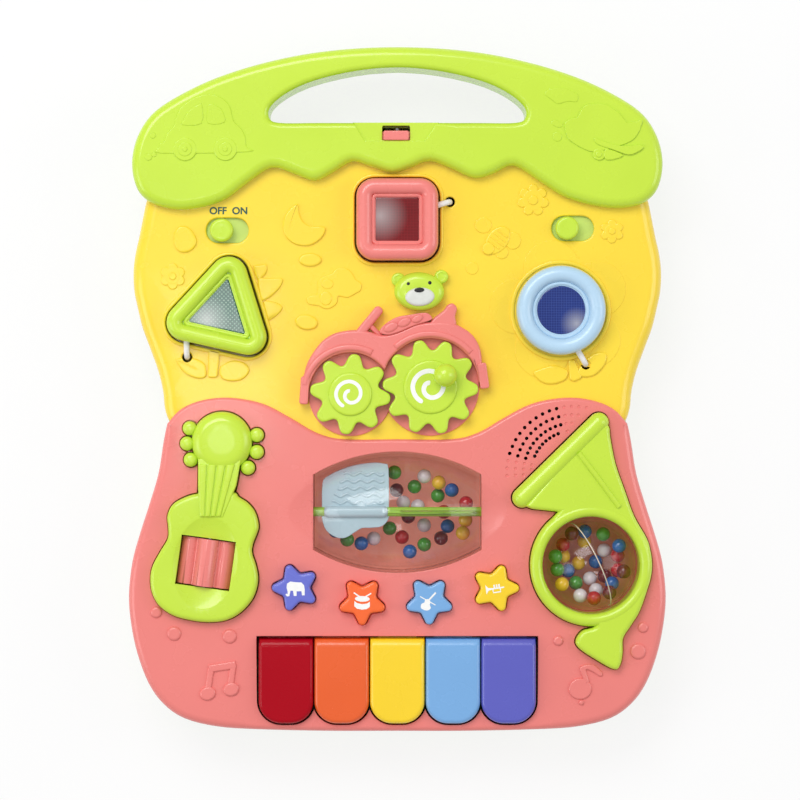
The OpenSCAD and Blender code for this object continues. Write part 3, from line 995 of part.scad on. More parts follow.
// Fasteners
module shell_screws() color(STEEL) for (p = concat(COVER_SCREWS, UPPER_SCREWS, LOWER_SCREWS)) translate([p[0], p[1], parting_z - 10.6]) {
    cylinder(r = 3.2, h = 2.6, $fn = 32);
    cylinder(r = pilot_r - 0.05, h = 20, $fn = 24);
}
module battery_door() color(LIME) difference() {
    union() {
        plate(0, 2) door_outline(0.4);
        for (k = [-2:2]) plate(2, 2.6) translate([k * 10, BATTERY_AT[1]]) square([1.2, BATTERY_BAY[1] - 4], center = true);
    }
    translate([DOOR_SCREW_AT[0], DOOR_SCREW_AT[1], -1]) cylinder(r = 1.7, h = 10, $fn = 24);
    translate([DOOR_SCREW_AT[0], DOOR_SCREW_AT[1], -0.5]) cylinder(r = 3, h = 1.5, $fn = 32);
}
module door_screw() color(STEEL) translate([DOOR_SCREW_AT[0], DOOR_SCREW_AT[1], 0.1]) {
    cylinder(r = 2.8, h = 0.9, $fn = 32);
    cylinder(r = 1.5, h = 8, $fn = 24);
}

back_shell();
upper_panel();
lower_panel();
top_cover();
bicycle_frame();
bear_head();
guitar_body();
horn_body();
drum_brackets();
key_rod();
contact_pad();
circuit_board();
speaker();
speaker_magnet();
batteries();
battery_springs();
window_leds();
slide_switches();
latch_spring();
shell_screws();
release_button();
switch_knob(SWITCH_LEFT_AT, SWITCH_X[0]);  // switch_knob_left
switch_knob(SWITCH_RIGHT_AT, SWITCH_X[1]);  // switch_knob_right
square_block();
square_lens();
tether(0);  // square_tether
triangle_block();
triangle_lens();
tether(1);  // triangle_tether
round_block();
round_lens();
tether(2);  // round_tether
big_gear();
translate(BIG_GEAR_AT) gear_screw();  // big_gear_screw
small_gear();
translate(SMALL_GEAR_AT) gear_screw();  // small_gear_screw
drum_shell();
drum_paddle();
drum_axle();
drum_beads();
ball_shell();
ball_beads();
guitar_roller();
roller_axle();
key(0);  // key_1
key(1);  // key_2
key(2);  // key_3
key(3);  // key_4
key(4);  // key_5
star_button(0);  // star_1
star_button(1);  // star_2
star_button(2);  // star_3
star_button(3);  // star_4
battery_door();
door_screw();
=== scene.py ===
# %% [markdown]
# # A musical activity panel, dressed up in Blender
#
# The panel is a flat toy housing of glossy moulded plastic: a lime cover with a handle, a yellow front, a
# pink front, and a lot of things to turn, push and press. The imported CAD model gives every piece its
# place. Here each visible piece is modelled again with softer edges, more steps and a real finish, and it
# rides on its CAD body.

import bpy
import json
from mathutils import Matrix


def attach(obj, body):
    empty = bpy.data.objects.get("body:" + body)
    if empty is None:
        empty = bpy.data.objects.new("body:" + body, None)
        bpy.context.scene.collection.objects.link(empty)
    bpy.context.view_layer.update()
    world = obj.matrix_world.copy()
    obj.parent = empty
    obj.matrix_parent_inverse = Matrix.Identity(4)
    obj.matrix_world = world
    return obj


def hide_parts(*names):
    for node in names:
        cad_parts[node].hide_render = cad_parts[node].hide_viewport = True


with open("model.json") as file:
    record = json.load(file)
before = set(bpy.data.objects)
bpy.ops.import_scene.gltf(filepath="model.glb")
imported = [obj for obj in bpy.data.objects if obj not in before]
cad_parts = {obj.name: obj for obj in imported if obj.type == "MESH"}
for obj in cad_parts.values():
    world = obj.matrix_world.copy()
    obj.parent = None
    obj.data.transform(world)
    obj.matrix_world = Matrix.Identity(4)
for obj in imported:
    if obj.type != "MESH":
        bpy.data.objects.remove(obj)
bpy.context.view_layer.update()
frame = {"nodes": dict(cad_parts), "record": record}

import bpy
import bmesh
import json
import math
import random
from mathutils import Matrix, Vector

MM = 0.001
MERGE = 0.002 * MM
scene = bpy.context.scene

# %% [markdown]
# ## Camera
#
# The panel lies on its back and is seen from straight above, from about 1.7 m, through a long lens. The
# picture is 800 by 800 and shows 416 mm at the height of the front face. A long lens matters here: it
# shows only a little of the inner wall of the handle's opening.

# %% Camera above the panel
FACE_Z, CAMERA_UP, VIEW_WIDTH = 45, 1700, 416
camera = bpy.data.objects.new("camera", bpy.data.cameras.new("camera"))
scene.collection.objects.link(camera)
camera.location = (1.4 * MM, -5.6 * MM, (FACE_Z + CAMERA_UP) * MM)
camera.data.sensor_width = 36
camera.data.lens = 36 * CAMERA_UP / VIEW_WIDTH
camera.data.clip_end = 20
scene.camera = camera
print("lens", round(camera.data.lens, 1), "mm")

# %% [markdown]
# ## Numbers as Python values in a shader
#
# Shader maths is easier to read as a formula. This small class wraps one socket and turns `+`, `*` and
# the like into Math nodes, in both orders, so that `1 - mask` works. Every other kind of node comes from
# one method of `Finish`, which takes the node's type, its settings and the values or links of its
# sockets.

# %% Shader values and finishes
class Value:
    def __init__(self, tree, socket):
        self.tree, self.socket = tree, socket

    def maths(self, operation, other=None, swapped=False):
        node = self.tree.nodes.new("ShaderNodeMath")
        node.operation = operation
        for place, value in zip(node.inputs, (other, self) if swapped else (self, other)):
            plugged(self.tree, place, value)
        return Value(self.tree, node.outputs[0])

    def clamped(self):
        return self.maths("MAXIMUM", 0.0).maths("MINIMUM", 1.0)


def operator_for(operation, swapped=False):
    def operator(self, other):
        return self.maths(operation, other, swapped)
    return operator


for word, operation in (("add", "ADD"), ("sub", "SUBTRACT"), ("mul", "MULTIPLY"), ("truediv", "DIVIDE"),
                        ("pow", "POWER")):
    setattr(Value, f"__{word}__", operator_for(operation))
    setattr(Value, f"__r{word}__", operator_for(operation, True))
Value.above = operator_for("GREATER_THAN")
Value.below = operator_for("LESS_THAN")


def plugged(tree, place, value):
    """Link a value into a socket, or set the socket to a plain number or colour."""
    if isinstance(value, Value):
        tree.links.new(value.socket, place)
    elif value is not None:
        place.default_value = value


class Finish:
    def __init__(self, name):
        self.material = bpy.data.materials.new(name)
        self.material.use_nodes = True
        self.tree = self.material.node_tree
        self.tree.nodes.clear()

    def node(self, kind, settings=None, values=None, out=0):
        node = self.tree.nodes.new("ShaderNode" + kind)
        for key, value in (settings or {}).items():
            setattr(node, key, value)
        for key, value in (values or {}).items():
            plugged(self.tree, node.inputs[key], value)
        return Value(self.tree, node.outputs[out]) if len(node.outputs) else None

    def object_place(self):
        return self.node("TexCoord", out=3)

    def mixed(self, factor, one, two):
        node = self.tree.nodes.new("ShaderNodeMix")
        node.data_type = "RGBA"
        for key, value in ((0, factor), (6, one), (7, two)):
            plugged(self.tree, node.inputs[key], value)
        return Value(self.tree, node.outputs[2])

    def surface(self, shader):
        self.node("OutputMaterial", values={"Surface": shader})
        return self.material


def linear(rgb, alpha=1.0):
    """Screen colour 0-255 to the linear colour that a socket takes."""
    light = [(c / 255 / 12.92) if c <= 10.3 else ((c / 255 + 0.055) / 1.055) ** 2.4 for c in rgb]
    return (*light, alpha)


# %% [markdown]
# ## Glossy moulded plastic
#
# Nearly the whole toy is ABS from a polished mould. Such a surface isn't a flat colour: the pigment is a
# touch uneven, the gloss changes softly where the mould was polished by hand, and a very faint waviness
# and grain make the reflections wobble. Four noises at different scales give these, all read from Object
# coordinates. A weak glow of its own is painted light: it stands for light that scatters in a tray under
# clear plastic.

# %% Moulded plastic finish
def moulded_plastic(name, rgb, roughness=0.27, coat=0.25, wave=0.06, ior=1.5, painted_glow=0.0):
    f = Finish(name)
    place = f.object_place()
    cloudy = f.node("TexNoise", values={"Vector": place, "Scale": 22.0, "Detail": 3.0})
    polish = f.node("TexNoise", values={"Vector": place, "Scale": 60.0, "Detail": 4.0})
    ripple = f.node("TexNoise", values={"Vector": place, "Scale": 130.0, "Detail": 2.0})
    grain = f.node("TexNoise", values={"Vector": place, "Scale": 2600.0, "Detail": 1.0})
    deep = [c * 0.93 for c in linear(rgb)[:3]] + [1]
    pale = [min(1, c * 1.04 + 0.002) for c in linear(rgb)[:3]] + [1]
    colour = f.mixed(cloudy, deep, pale)
    bump = f.node("Bump", values={"Strength": wave, "Distance": 0.0006, "Height": ripple + 0.04 * grain})
    return f.surface(f.node("BsdfPrincipled", values={
        "Base Color": colour, "Roughness": roughness - 0.05 + 0.1 * polish, "IOR": ior, "Coat Weight": coat,
        "Coat Roughness": 0.08, "Normal": bump, "Emission Color": colour, "Emission Strength": painted_glow}))


PLASTICS = {
    "lime_plastic": (198, 229, 62), "yellow_plastic": (255, 219, 58), "pink_plastic": (238, 130, 124),
    "pale_blue_plastic": (184, 216, 240), "red_plastic": (172, 0, 24), "orange_plastic": (236, 96, 36),
    "key_yellow_plastic": (250, 212, 36), "light_blue_plastic": (120, 172, 224),
    "indigo_plastic": (92, 94, 192), "green_plastic": (158, 205, 66), "black_plastic": (24, 24, 26)}
# The red key is nearly free of pale sheen, so its index of refraction is low.
finishes = {name: moulded_plastic(name, rgb, ior=1.15 if name == "red_plastic" else 1.5)
            for name, rgb in PLASTICS.items()}
print(len(finishes), "plastics")

# %% [markdown]
# ## The finishes that nobody sees at first
#
# Inside the housing are a circuit board, cells, a speaker and steel parts. They show through the openings
# and when the battery door is off, so each gets its own finish: brushed steel with streaks, a board with
# copper tracks under green lacquer, paper-wrapped cells, and grey rubber.

# %% Steel, board, sleeve, rubber, printed white and cord
def steel_finish():
    f = Finish("steel")
    streaks = f.node("Mapping", values={"Vector": f.object_place(), "Scale": (900, 40, 900)})
    noise = f.node("TexNoise", values={"Vector": streaks, "Scale": 1.0, "Detail": 3.0})
    return f.surface(f.node("BsdfPrincipled", values={
        "Base Color": f.mixed(noise, (0.5, 0.5, 0.52, 1), (0.68, 0.68, 0.7, 1)), "Metallic": 1.0,
        "Roughness": 0.22 + 0.2 * noise}))


def board_finish():
    f = Finish("board")
    place = f.object_place()
    tracks = f.node("TexBrick", values={
        "Vector": place, "Scale": 160.0, "Mortar Size": 0.06,
        "Color1": (1, 1, 1, 1), "Color2": (1, 1, 1, 1), "Mortar": (0, 0, 0, 1)}, out=1)
    colour = f.mixed(tracks, (0.008, 0.12, 0.04, 1), (0.03, 0.22, 0.07, 1))
    return f.surface(f.node("BsdfPrincipled", values={
        "Base Color": colour, "Roughness": 0.3 + 0.2 * tracks}))


def grained(name, rgb_low, rgb_high, scale, roughness, strength=0.2, distance=0.0003):
    f = Finish(name)
    noise = f.node("TexNoise", values={"Vector": f.object_place(), "Scale": scale, "Detail": 4.0})
    bump = f.node("Bump", values={"Strength": strength, "Distance": distance, "Height": noise})
    colour = f.mixed(noise, linear(rgb_low), linear(rgb_high))
    return f.surface(f.node("BsdfPrincipled", values={
        "Base Color": colour, "Roughness": roughness, "Normal": bump}))


def clear_finish(name, tint, least=0.02, edge=0.4):
    f = Finish(name)
    facing = f.node("LayerWeight", values={"Blend": 0.35}, out=1)
    smear = f.node("TexNoise", values={"Vector": f.object_place(), "Scale": 45.0, "Detail": 2.0})
    through = f.node("BsdfTransparent", values={"Color": tint})
    gloss = f.node("BsdfPrincipled", values={"Base Color": (0.92, 0.93, 0.94, 1), "Metallic": 1.0,
                                             "Roughness": 0.06 + 0.05 * smear})
    return f.surface(f.node("MixShader", values={0: least + edge * facing ** 2.5, 1: through, 2: gloss}))


finishes["steel"] = steel_finish()
finishes["board"] = board_finish()
finishes["clear_plastic"] = clear_finish("clear_plastic", (0.99, 0.985, 0.985, 1))
finishes["slider_lime"] = moulded_plastic("slider_lime", (200, 226, 112))
for name, *look in (("battery_sleeve", (30, 92, 66), (42, 120, 88), 300, 0.35),
                    ("grey_rubber", (120, 120, 124), (160, 160, 164), 900, 0.7),
                    ("led_white", (225, 225, 214), (246, 246, 238), 200, 0.2),
                    ("white_cord", (222, 220, 218), (250, 250, 250), 700, 0.45, 0.35, 0.0002),
                    ("printed_white", (236, 236, 234), (252, 252, 250), 500, 0.5, 0.1),
                    ("printed_teal", (16, 72, 66), (30, 92, 84), 500, 0.5, 0.1),
                    ("muzzle_grey", (206, 208, 202), (226, 228, 222), 400, 0.4, 0.1),
                    ("bead_mix", (40, 90, 170), (60, 110, 190), 60, 0.12, 0.05)):
    finishes[name] = grained(name, *look)


def window_finish(name, low, high, mark, pitch, metric, level, turn, painted_glare_at, painted_glare_size):
    """Dark clear window: a lattice of small marks below it and a painted highlight, a pale glare, on one
    side.
    """
    f = Finish(name)
    place = f.object_place()
    cloudy = f.node("TexNoise", values={"Vector": place, "Scale": 60.0, "Detail": 2.0})
    lattice = f.node("TexVoronoi", {"voronoi_dimensions": "2D", "distance": metric}, {
        "Vector": f.node("Mapping", values={"Vector": place, "Rotation": (0, 0, math.radians(turn))}),
        "Scale": 1000 / pitch, "Randomness": 0.0})
    marks = lattice.below(level) if level > 0 else lattice.above(-level)
    away = f.node("VectorMath", {"operation": "DISTANCE"}, {0: place, 1: [c * MM for c in painted_glare_at]}, out=1)
    # Painted highlight: pale grey, brightest at one point and fading out within a radius.
    painted_glare = (1 - away / (painted_glare_size * MM)).clamped() ** 1.3
    dark = f.mixed(marks * 0.45, f.mixed(cloudy, linear(low), linear(high)), linear(mark))
    return f.surface(f.node("BsdfPrincipled", values={
        "Base Color": f.mixed(painted_glare * 0.55, dark, (0.62, 0.62, 0.62, 1)), "Roughness": 0.1 + 0.06 * cloudy,
        "Coat Weight": 0.3}))


# The last two values of each window place its painted highlight and give its radius in millimetres.
for name, *look in (
        ("red_window", (88, 0, 6), (128, 4, 16), (150, 20, 30), 1.5, "CHEBYCHEV", -0.44, 0,
         (-9, 90, 50), 15),
        ("green_window", (6, 66, 52), (14, 92, 72), (150, 200, 170), 1.55, "EUCLIDEAN", 0.24, 45,
         (-99, 36, 50), 13),
        ("blue_window", (12, 30, 100), (22, 48, 126), (70, 100, 180), 1.3, "CHEBYCHEV", -0.42, 0,
         (93, 34, 50), 9)):
    finishes[name] = window_finish(name, *look)
print(len(finishes), "finishes in all")

# %% [markdown]
# ## Bring over the CAD nodes
#
# Every node starts with the finish of its material slot. The shells that are modelled again below hide
# their nodes; small inner parts stay as they are. A CAD mesh is loose triangles with hard shading. A node
# that stays in sight gets a merged copy whose normals are smoothed up to an angle, with big flat faces
# kept flat.

# %% Finishes on nodes, and smoothed copies
slot_of = {s["node"]: s["material_slot"] for s in frame["record"]["subparts"]}
bodies = frame["record"]["behaviour"]["bodies"]
body_of_node = {node: body for body, nodes in bodies.items() for node in nodes}


def linked(name, data):
    obj = bpy.data.objects.new(name, data)
    scene.collection.objects.link(obj)
    return obj


def object_from(name, bm):
    """A new object that takes over what bm holds."""
    mesh = bpy.data.meshes.new(name)
    bm.to_mesh(mesh)
    bm.free()
    return linked(name, mesh)


def evaluated(obj):
    """Mesh data of a curve, or of a mesh with its modifiers applied."""
    return bpy.data.meshes.new_from_object(obj.evaluated_get(bpy.context.evaluated_depsgraph_get()))


def apply_modifiers(obj):
    mesh = evaluated(obj)
    obj.modifiers.clear()
    obj.data = mesh
    return obj


def wear(obj, finish):
    obj.data.materials.clear()
    obj.data.materials.append(finishes[finish] if isinstance(finish, str) else finish)
    return obj


def settle(obj, degrees=35, weighted=True):
    """Apply the modifiers, shade smooth up to an angle, and keep large flat faces flat."""
    if weighted:
        flat = obj.modifiers.new("flat faces", "WEIGHTED_NORMAL")
        flat.keep_sharp = True
    for polygon in obj.data.polygons:
        polygon.use_smooth = True
    obj.data.set_sharp_from_angle(angle=math.radians(degrees))
    return apply_modifiers(obj)


def smoothed_node(node):
    """A copy of a CAD node with its corners merged and its shading smoothed up to 42 degrees."""
    bm = bmesh.new()
    bm.from_mesh(frame["nodes"][node].data)
    bmesh.ops.remove_doubles(bm, verts=bm.verts, dist=0.004 * MM)
    obj = wear(object_from(node + "_smooth", bm), slot_of[node])
    return placed(settle(obj, 42), body_of_node[node], slot_of[node], node)


def placed(obj, body, slot, *nodes):
    """Let a piece ride on its body and hide the CAD nodes that it stands for. The slot is not used."""
    print(obj.name, "rides on", body, "with", len(obj.data.polygons), "faces")
    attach(obj, body)
    if nodes:
        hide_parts(*nodes)
    return obj


for node, obj in frame["nodes"].items():
    wear(obj, slot_of[node])

# %% [markdown]
# ## Outlines
#
# The fronts, the guitar and the horn have free outlines. Each is a short list of points that a smooth
# curve runs through (a Catmull-Rom curve, as in the CAD source). Bezier curves would need handles as
# well, while here every number is a place on the toy. Left and right are the same on the housing, so only
# the right half is written down, and the wavy lip in full. All numbers are millimetres.

# %% Points of the outlines
def smooth_loop(points, steps=5):
    count, loop = len(points), []
    for i in range(count):
        a, b, c, d = (Vector(points[(i + k) % count]) for k in (-1, 0, 1, 2))
        for k in range(steps):
            t = k / steps
            square, cube = 2 * a - 5 * b + 4 * c - d, 3 * b - a - 3 * c + d
            loop.append(0.5 * (2 * b + (c - a) * t + square * t * t + cube * t ** 3))
    return [tuple(p) for p in loop]


def smooth_line(points, steps=5):
    """The same curve, but open."""
    return smooth_loop(points[:1] + points + points[-1:], steps)[steps:-2 * steps + 1]


def with_mirror(half):
    return half + [(-x, y) for x, y in reversed(half) if x > 0.01]


def around(centre, radius, angle):
    """The point at an angle in radians on a circle."""
    return (centre[0] + radius * math.cos(angle), centre[1] + radius * math.sin(angle))


def circle(centre, radius, count=64):
    return [around(centre, radius, 2 * math.pi * i / count) for i in range(count)]


def arc(centre, radius, start, end, steps):
    angles = [math.radians(start + (end - start) * i / steps) for i in range(steps + 1)]
    return [around(centre, radius, angle) for angle in angles]


def ellipse(centre, rx, ry, count=64, turn=0.0):
    return turned([(rx * math.cos(2 * math.pi * i / count), ry * math.sin(2 * math.pi * i / count))
                   for i in range(count)], turn, centre)


def turned(points, degrees=0.0, shift=(0, 0), scale=1.0):
    c, s = math.cos(math.radians(degrees)), math.sin(math.radians(degrees))
    return [(scale * (x * c - y * s) + shift[0], scale * (x * s + y * c) + shift[1]) for x, y in points]


def rounded_box(w, h, r, count=8, centre=(0, 0), degrees=0):
    points = []
    for sx, sy, first in ((1, 1, 0), (-1, 1, 90), (-1, -1, 180), (1, -1, 270)):
        for i in range(count + 1):
            corner = (sx * (w / 2 - r), sy * (h / 2 - r))
            points.append(around(corner, r, math.radians(first + 90 * i / count)))
    return turned(points, degrees, centre)


def rounded_triangle(side, r, count=12):
    reach, points = side / math.sqrt(3) - 2 * r, []
    for k in range(3):
        for i in range(count + 1):
            corner = around((0, 0), reach, math.radians(120 * k))
            points.append(around(corner, r, math.radians(120 * k - 60 + 120 * i / count)))
    return points


COVER_SIDE = [(0, 177.9), (20, 177.3), (40, 175.4), (58, 172.3), (78, 167.3), (98, 160.3), (116.5, 151),
              (128, 142.5), (135, 131.5), (137.9, 119.5), (136.8, 108.5), (132.6, 100.4)]
WAVE = [(124, 95.4), (108.9, 94.5), (88.5, 99.5), (74.5, 107.9), (60.6, 116.3), (50, 112.2), (40.1, 109.8),
        (28.5, 114.6), (16.9, 118.6), (7, 115.2), (-2.6, 112.5), (-13, 115.6), (-23.2, 118.4), (-33, 113),
        (-42.9, 108.5), (-54, 112.2), (-65.3, 115.2), (-77, 108.1), (-91.3, 97.8), (-110, 93.4),
        (-124, 95.4)]
UPPER_SIDE = [(0, 124), (60, 124), (121, 123.5), (126.5, 113), (128.6, 105), (131.2, 98), (133, 89.5),
              (135, 79.5), (137, 70.5), (138, 61.5), (137.6, 51.5), (135.9, 43), (133.2, 32),
              (129.3, 21.5), (125, 9.5), (122.5, -1), (121.5, -10), (118.9, -16.6), (114.6, -16.6),
              (109.8, -12.4), (104.6, -9.5), (97, -7.8), (87, -7.4), (72, -10.6), (57.6, -17.8),
              (44, -25.6), (28, -29.4), (0, -29.4)]
LOWER_SIDE = [(0, -26), (28, -26), (42, -22.6), (56, -14.6), (70.3, -7.4), (87, -4.4), (101, -5.6),
              (112.2, -10), (118.9, -16.9), (120.1, -19), (122, -28), (124.6, -44), (129.5, -60.5),
              (134.3, -75.5), (138.2, -90), (140, -107), (138.9, -122), (135.5, -138), (129.7, -153.3),
              (122, -164), (111, -171.6), (94, -175.8), (73, -177.2), (36, -178), (0, -178)]
OPENING_SIDE = [(0, 167), (14, 166.2), (30, 163.6), (46, 159.2), (58, 153.4), (65.5, 147), (66.6, 141.6),
                (62, 138.4), (40, 138.3), (0, 138.3)]
cover_line = smooth_loop(COVER_SIDE + WAVE + [(-x, y) for x, y in reversed(COVER_SIDE) if x > 0], 4)
upper_line = smooth_loop(with_mirror(UPPER_SIDE), 4)
lower_line = smooth_loop(with_mirror(LOWER_SIDE), 4)
opening_line = smooth_loop(with_mirror(OPENING_SIDE), 4)
print("outline points:", len(cover_line), len(upper_line), len(lower_line), len(opening_line))

# %% [markdown]
# ## From an outline to a moulded solid
#
# A moulded part is a plate with a rounded upper edge. Two ways are used. A small button is *raised*: its
# outline is one face, extruded up and then inset in small steps that follow a quarter circle, which gives
# clean rows of quads. A housing has windows cut into it and a shoulder whose width changes along the
# edge, so it is a *prism* that is cut with Boolean modifiers, and then a Bevel modifier rounds each edge
# by its own weight.

# %% Prisms, raised forms, cuts and rolled edges
def face_of(bm, outline, z):
    face = bm.faces.new([bm.verts.new((x * MM, y * MM, z * MM)) for x, y in outline])
    face.normal_update()
    if face.normal.z < 0:
        face.normal_flip()
    return face


def moved(bm, verts, x, y, z):
    bmesh.ops.translate(bm, vec=(x * MM, y * MM, z * MM), verts=verts)


def extruded(bm, face, rise):
    grown = bmesh.ops.extrude_face_region(bm, geom=[face])["geom"]
    moved(bm, [g for g in grown if isinstance(g, bmesh.types.BMVert)], 0, 0, rise)
    return [g for g in grown if isinstance(g, bmesh.types.BMFace)][0]


def narrowed(bm, face, inwards, rise):
    bmesh.ops.inset_region(bm, faces=[face], thickness=inwards * MM, depth=rise * MM, use_even_offset=True)


def roll(radius, steps=5, start=0, end=90):
    """Steps of (inwards, rise) that follow an arc from one angle to the other."""
    angles = [math.radians(start + (end - start) * i / steps) for i in range(steps + 1)]
    return [(radius * (math.cos(a) - math.cos(b)), radius * (math.sin(b) - math.sin(a)))
            for a, b in zip(angles, angles[1:])]


def raised(bm, outline, z0, z1, edge=(), dome=()):
    """Raise an outline from z0 so that its top, after the steps in edge and dome, comes to z1."""
    steps = list(edge) + list(dome)
    face = face_of(bm, outline, z0)
    face = extruded(bm, face, z1 - z0 - sum(step[1] for step in steps))
    for inwards, rise in steps:
        narrowed(bm, face, inwards, rise)
    return face


def piece_from(name, bm, finish, body="panel", slot=None, nodes=(), degrees=35, weighted=True, keep=False):
    """Shade a piece and place it on a body. Without a slot of its own it takes the one its finish names."""
    if not keep:
        bmesh.ops.recalc_face_normals(bm, faces=bm.faces)
    obj = wear(object_from(name, bm), finish)
    settle(obj, degrees, weighted)
    if body:
        placed(obj, body, slot or finish, *nodes)
    return obj


def prism_mesh(outlines, z0, z1):
    bm = bmesh.new()
    for outline in outlines:
        extruded(bm, face_of(bm, outline, z0), z1 - z0)
    bmesh.ops.recalc_face_normals(bm, faces=bm.faces)
    return bm


def cutter(outlines, z0, z1):
    return object_from("cutter", prism_mesh(outlines, z0, z1))


def dish_cutter(at, rx, ry, depth, z, turn=0):
    """Lower part of an ellipsoid whose cut at height z has the half axes rx and ry."""
    bm = bmesh.new()
    bmesh.ops.create_uvsphere(bm, u_segments=96, v_segments=64, radius=1)
    bmesh.ops.scale(bm, vec=(rx / 0.8 * MM, ry / 0.8 * MM, depth / 0.4 * MM), verts=bm.verts)
    bmesh.ops.rotate(bm, matrix=Matrix.Rotation(math.radians(turn), 3, "Z"), verts=bm.verts)
    moved(bm, bm.verts, *at, z + depth * 1.5)
    return object_from("dish", bm)


def combined(obj, other, merging=False):
    """Cut the other form out of obj; merging also joins parts of obj that overlap."""
    cut = obj.modifiers.new("cut", "BOOLEAN")
    cut.operation, cut.solver, cut.object, cut.use_self = "DIFFERENCE", "EXACT", other, merging
    apply_modifiers(obj)
    bpy.data.objects.remove(other)


def refilled(obj):
    """Fill level faces anew between their rims, because a Boolean leaves faces that touch themselves."""
    bm = bmesh.new()
    bm.from_mesh(obj.data)
    levels = {}
    for face in bm.faces:
        if abs(face.normal.z) > 0.9995:
            levels.setdefault((round(face.verts[0].co.z / MM, 2), face.normal.z > 0), []).append(face)
    for (_, upwards), faces in levels.items():
        if not upwards or max(len(face.verts) for face in faces) < 24:
            continue
        inside = set(faces)
        edges = {e for face in faces for e in face.edges}
        rim = [e for e in edges if sum(f in inside for f in e.link_faces) == 1]
        bmesh.ops.delete(bm, geom=faces, context="FACES_KEEP_BOUNDARY")
        bmesh.ops.triangle_fill(bm, use_beauty=True, edges=rim, normal=(0, 0, 1))
    bm.to_mesh(obj.data)
    bm.free()


# The Bevel modifier rolls an edge by this many millimetres times the edge's weight.
WIDEST = 10


def housing(name, outline, z0, z1, cuts, width_at, finish, segments=6):
    """Prism with cuts; width_at(x, y, z) gives the roll of an upper edge in millimetres."""
    obj = object_from(name, prism_mesh([outline], z0, z1))
    for cut in cuts:
        combined(obj, cutter(*cut) if isinstance(cut, tuple) else cut)
    bm = bmesh.new()
    bm.from_mesh(obj.data)
    bmesh.ops.remove_doubles(bm, verts=bm.verts, dist=MERGE)
    bmesh.ops.dissolve_degenerate(bm, edges=bm.edges, dist=MERGE)
    weights = bm.edges.layers.float.new("bevel_weight_edge")
    widest = 0
    for edge in bm.edges:
        if len(edge.link_faces) != 2 or edge.calc_face_angle(0) < math.radians(50):
            continue
        x, y, z = (edge.verts[0].co + edge.verts[1].co) / 2 / MM
        width = width_at(x, y, z)
        edge[weights] = width / WIDEST
        widest = max(widest, width)
    bm.to_mesh(obj.data)
    bm.free()
    bevel = obj.modifiers.new("rolled edges", "BEVEL")
    bevel.limit_method, bevel.width, bevel.segments, bevel.profile = "WEIGHT", WIDEST * MM, segments, 0.5
    bevel.use_clamp_overlap = False
    refilled(apply_modifiers(obj))
    settle(wear(obj, finish), 38)
    print(name, len(obj.data.polygons), "faces, widest roll", widest)
    return obj


def near(point, outline, distance):
    """Whether a point lies within a distance of the closed outline."""
    p = Vector(point)
    for a, b in zip(outline, outline[1:] + outline[:1]):
        a, b = Vector(a), Vector(b)
        t = min(1, max(0, (p - a).dot(b - a) / max((b - a).length_squared, 1e-9)))
        if (a + (b - a) * t - p).length < distance:
            return True
    return False


def box(x0, y0, x1, y1):
    return [(x0, y0), (x1, y0), (x1, y1), (x0, y1)]

# %% [markdown]
# ## The lime cover with the handle
#
# One moulding closes the top of the toy: it ends in a wavy lip over the yellow front and forms the front
# half of the handle. The prism is cut by the finger opening, by the slot of the release button and by the
# room below the lip. The outer edge rolls over 5 mm, the finger opening 3 mm, and the slot is nearly
# sharp.

# %% Cover
COVER_TOP, YELLOW_TOP, PINK_TOP = 50, 42, 44.5
RECESS = [(-23.5, 139.5), (22, 139.5), (14.5, 128.7), (-17, 128.7)]


def cut_by(outline, z0=10, z1=50):
    """A cut for housing(): one outline, and the heights between which it cuts."""
    return [outline], z0, z1


def cover_roll(x, y, z):
    if z < 41.5:
        return 0
    if z < 42.5:
        return 0.5 if abs(x) < 125 and y < 128 else 0
    if abs(x + 0.6) < 9 and 128 < y < 136.9:
        return 0.4
    if z < 49.6 or (abs(x) < 26 and 127 < y < 139.7):
        return 0.25 if z > 49 else 0
    return 3 if near((x, y), opening_line, 0.2) else 5


button_slot = rounded_box(14.4, 7.9, 0.8, 4, (-0.6, 132.75))
cover = housing("cover", cover_line, 20, COVER_TOP, [
    cut_by(box(-118, 0, 118, 125), 19, YELLOW_TOP), cut_by(box(-150, 0, 150, 101.5), 19, YELLOW_TOP),
    cut_by(box(-12, 120, 12, 136), 19, 47.5), cut_by(opening_line, 10, 60), cut_by(RECESS, 49.2, 52),
    cut_by(button_slot, 40, 52)], cover_roll, "lime_plastic", 7)
placed(cover, "panel", "lime_plastic", "top_cover")

# %% [markdown]
# ## The yellow front
#
# Its sides carry a broad rounded shoulder that runs from under the cover down to the pink edge. Three
# wells take the shape blocks, two long slots take the switches, and small round holes swallow the tether
# cords. The rims of the wells stand up a little, as the shadow line round each block shows.

# %% Yellow front
SQUARE_AT, TRIANGLE_AT, TRIANGLE_TURN, ROUND_AT = (0, 88.2), (-91.7, 40.4), 77.3, (85, 41)
TETHERS = [((19.5, 95.2), (27.4, 97.6)), ((-109.6, 26.6), (-109.5, 16.6)), ((93.6, 20.4), (98.2, 12.8))]
SWITCHES = [((-88.5, 82.7), -91.4), ((91.4, 83.8), 88.3)]
SHAPES = ("square", "triangle", "round")


def three_cornered(side, r, count=12):
    return turned(rounded_triangle(side, r, count), TRIANGLE_TURN, TRIANGLE_AT)


def tether_holes(radius, z0, z1):
    return [circle(hole, radius, 32) for _, hole in TETHERS], z0, z1


WELLS = [rounded_box(44.5, 44.5, 10.5, 8, SQUARE_AT), three_cornered(70, 10.5), circle(ROUND_AT, 24.1, 96)]
RIMS = [rounded_box(48.1, 48.1, 12, 8, SQUARE_AT), three_cornered(77, 13), circle(ROUND_AT, 26.3, 96)]


def upper_roll(x, y, z):
    if z < 41.5:
        return 0
    if any(near((x, y), well, 0.1) for well in WELLS):
        return 0
    if near((x, y), upper_line, 0.1):
        return max(0.4, min(7, (114 - y) * 0.9, 7 if abs(x) > 117.5 else 0.4))
    return 0.9


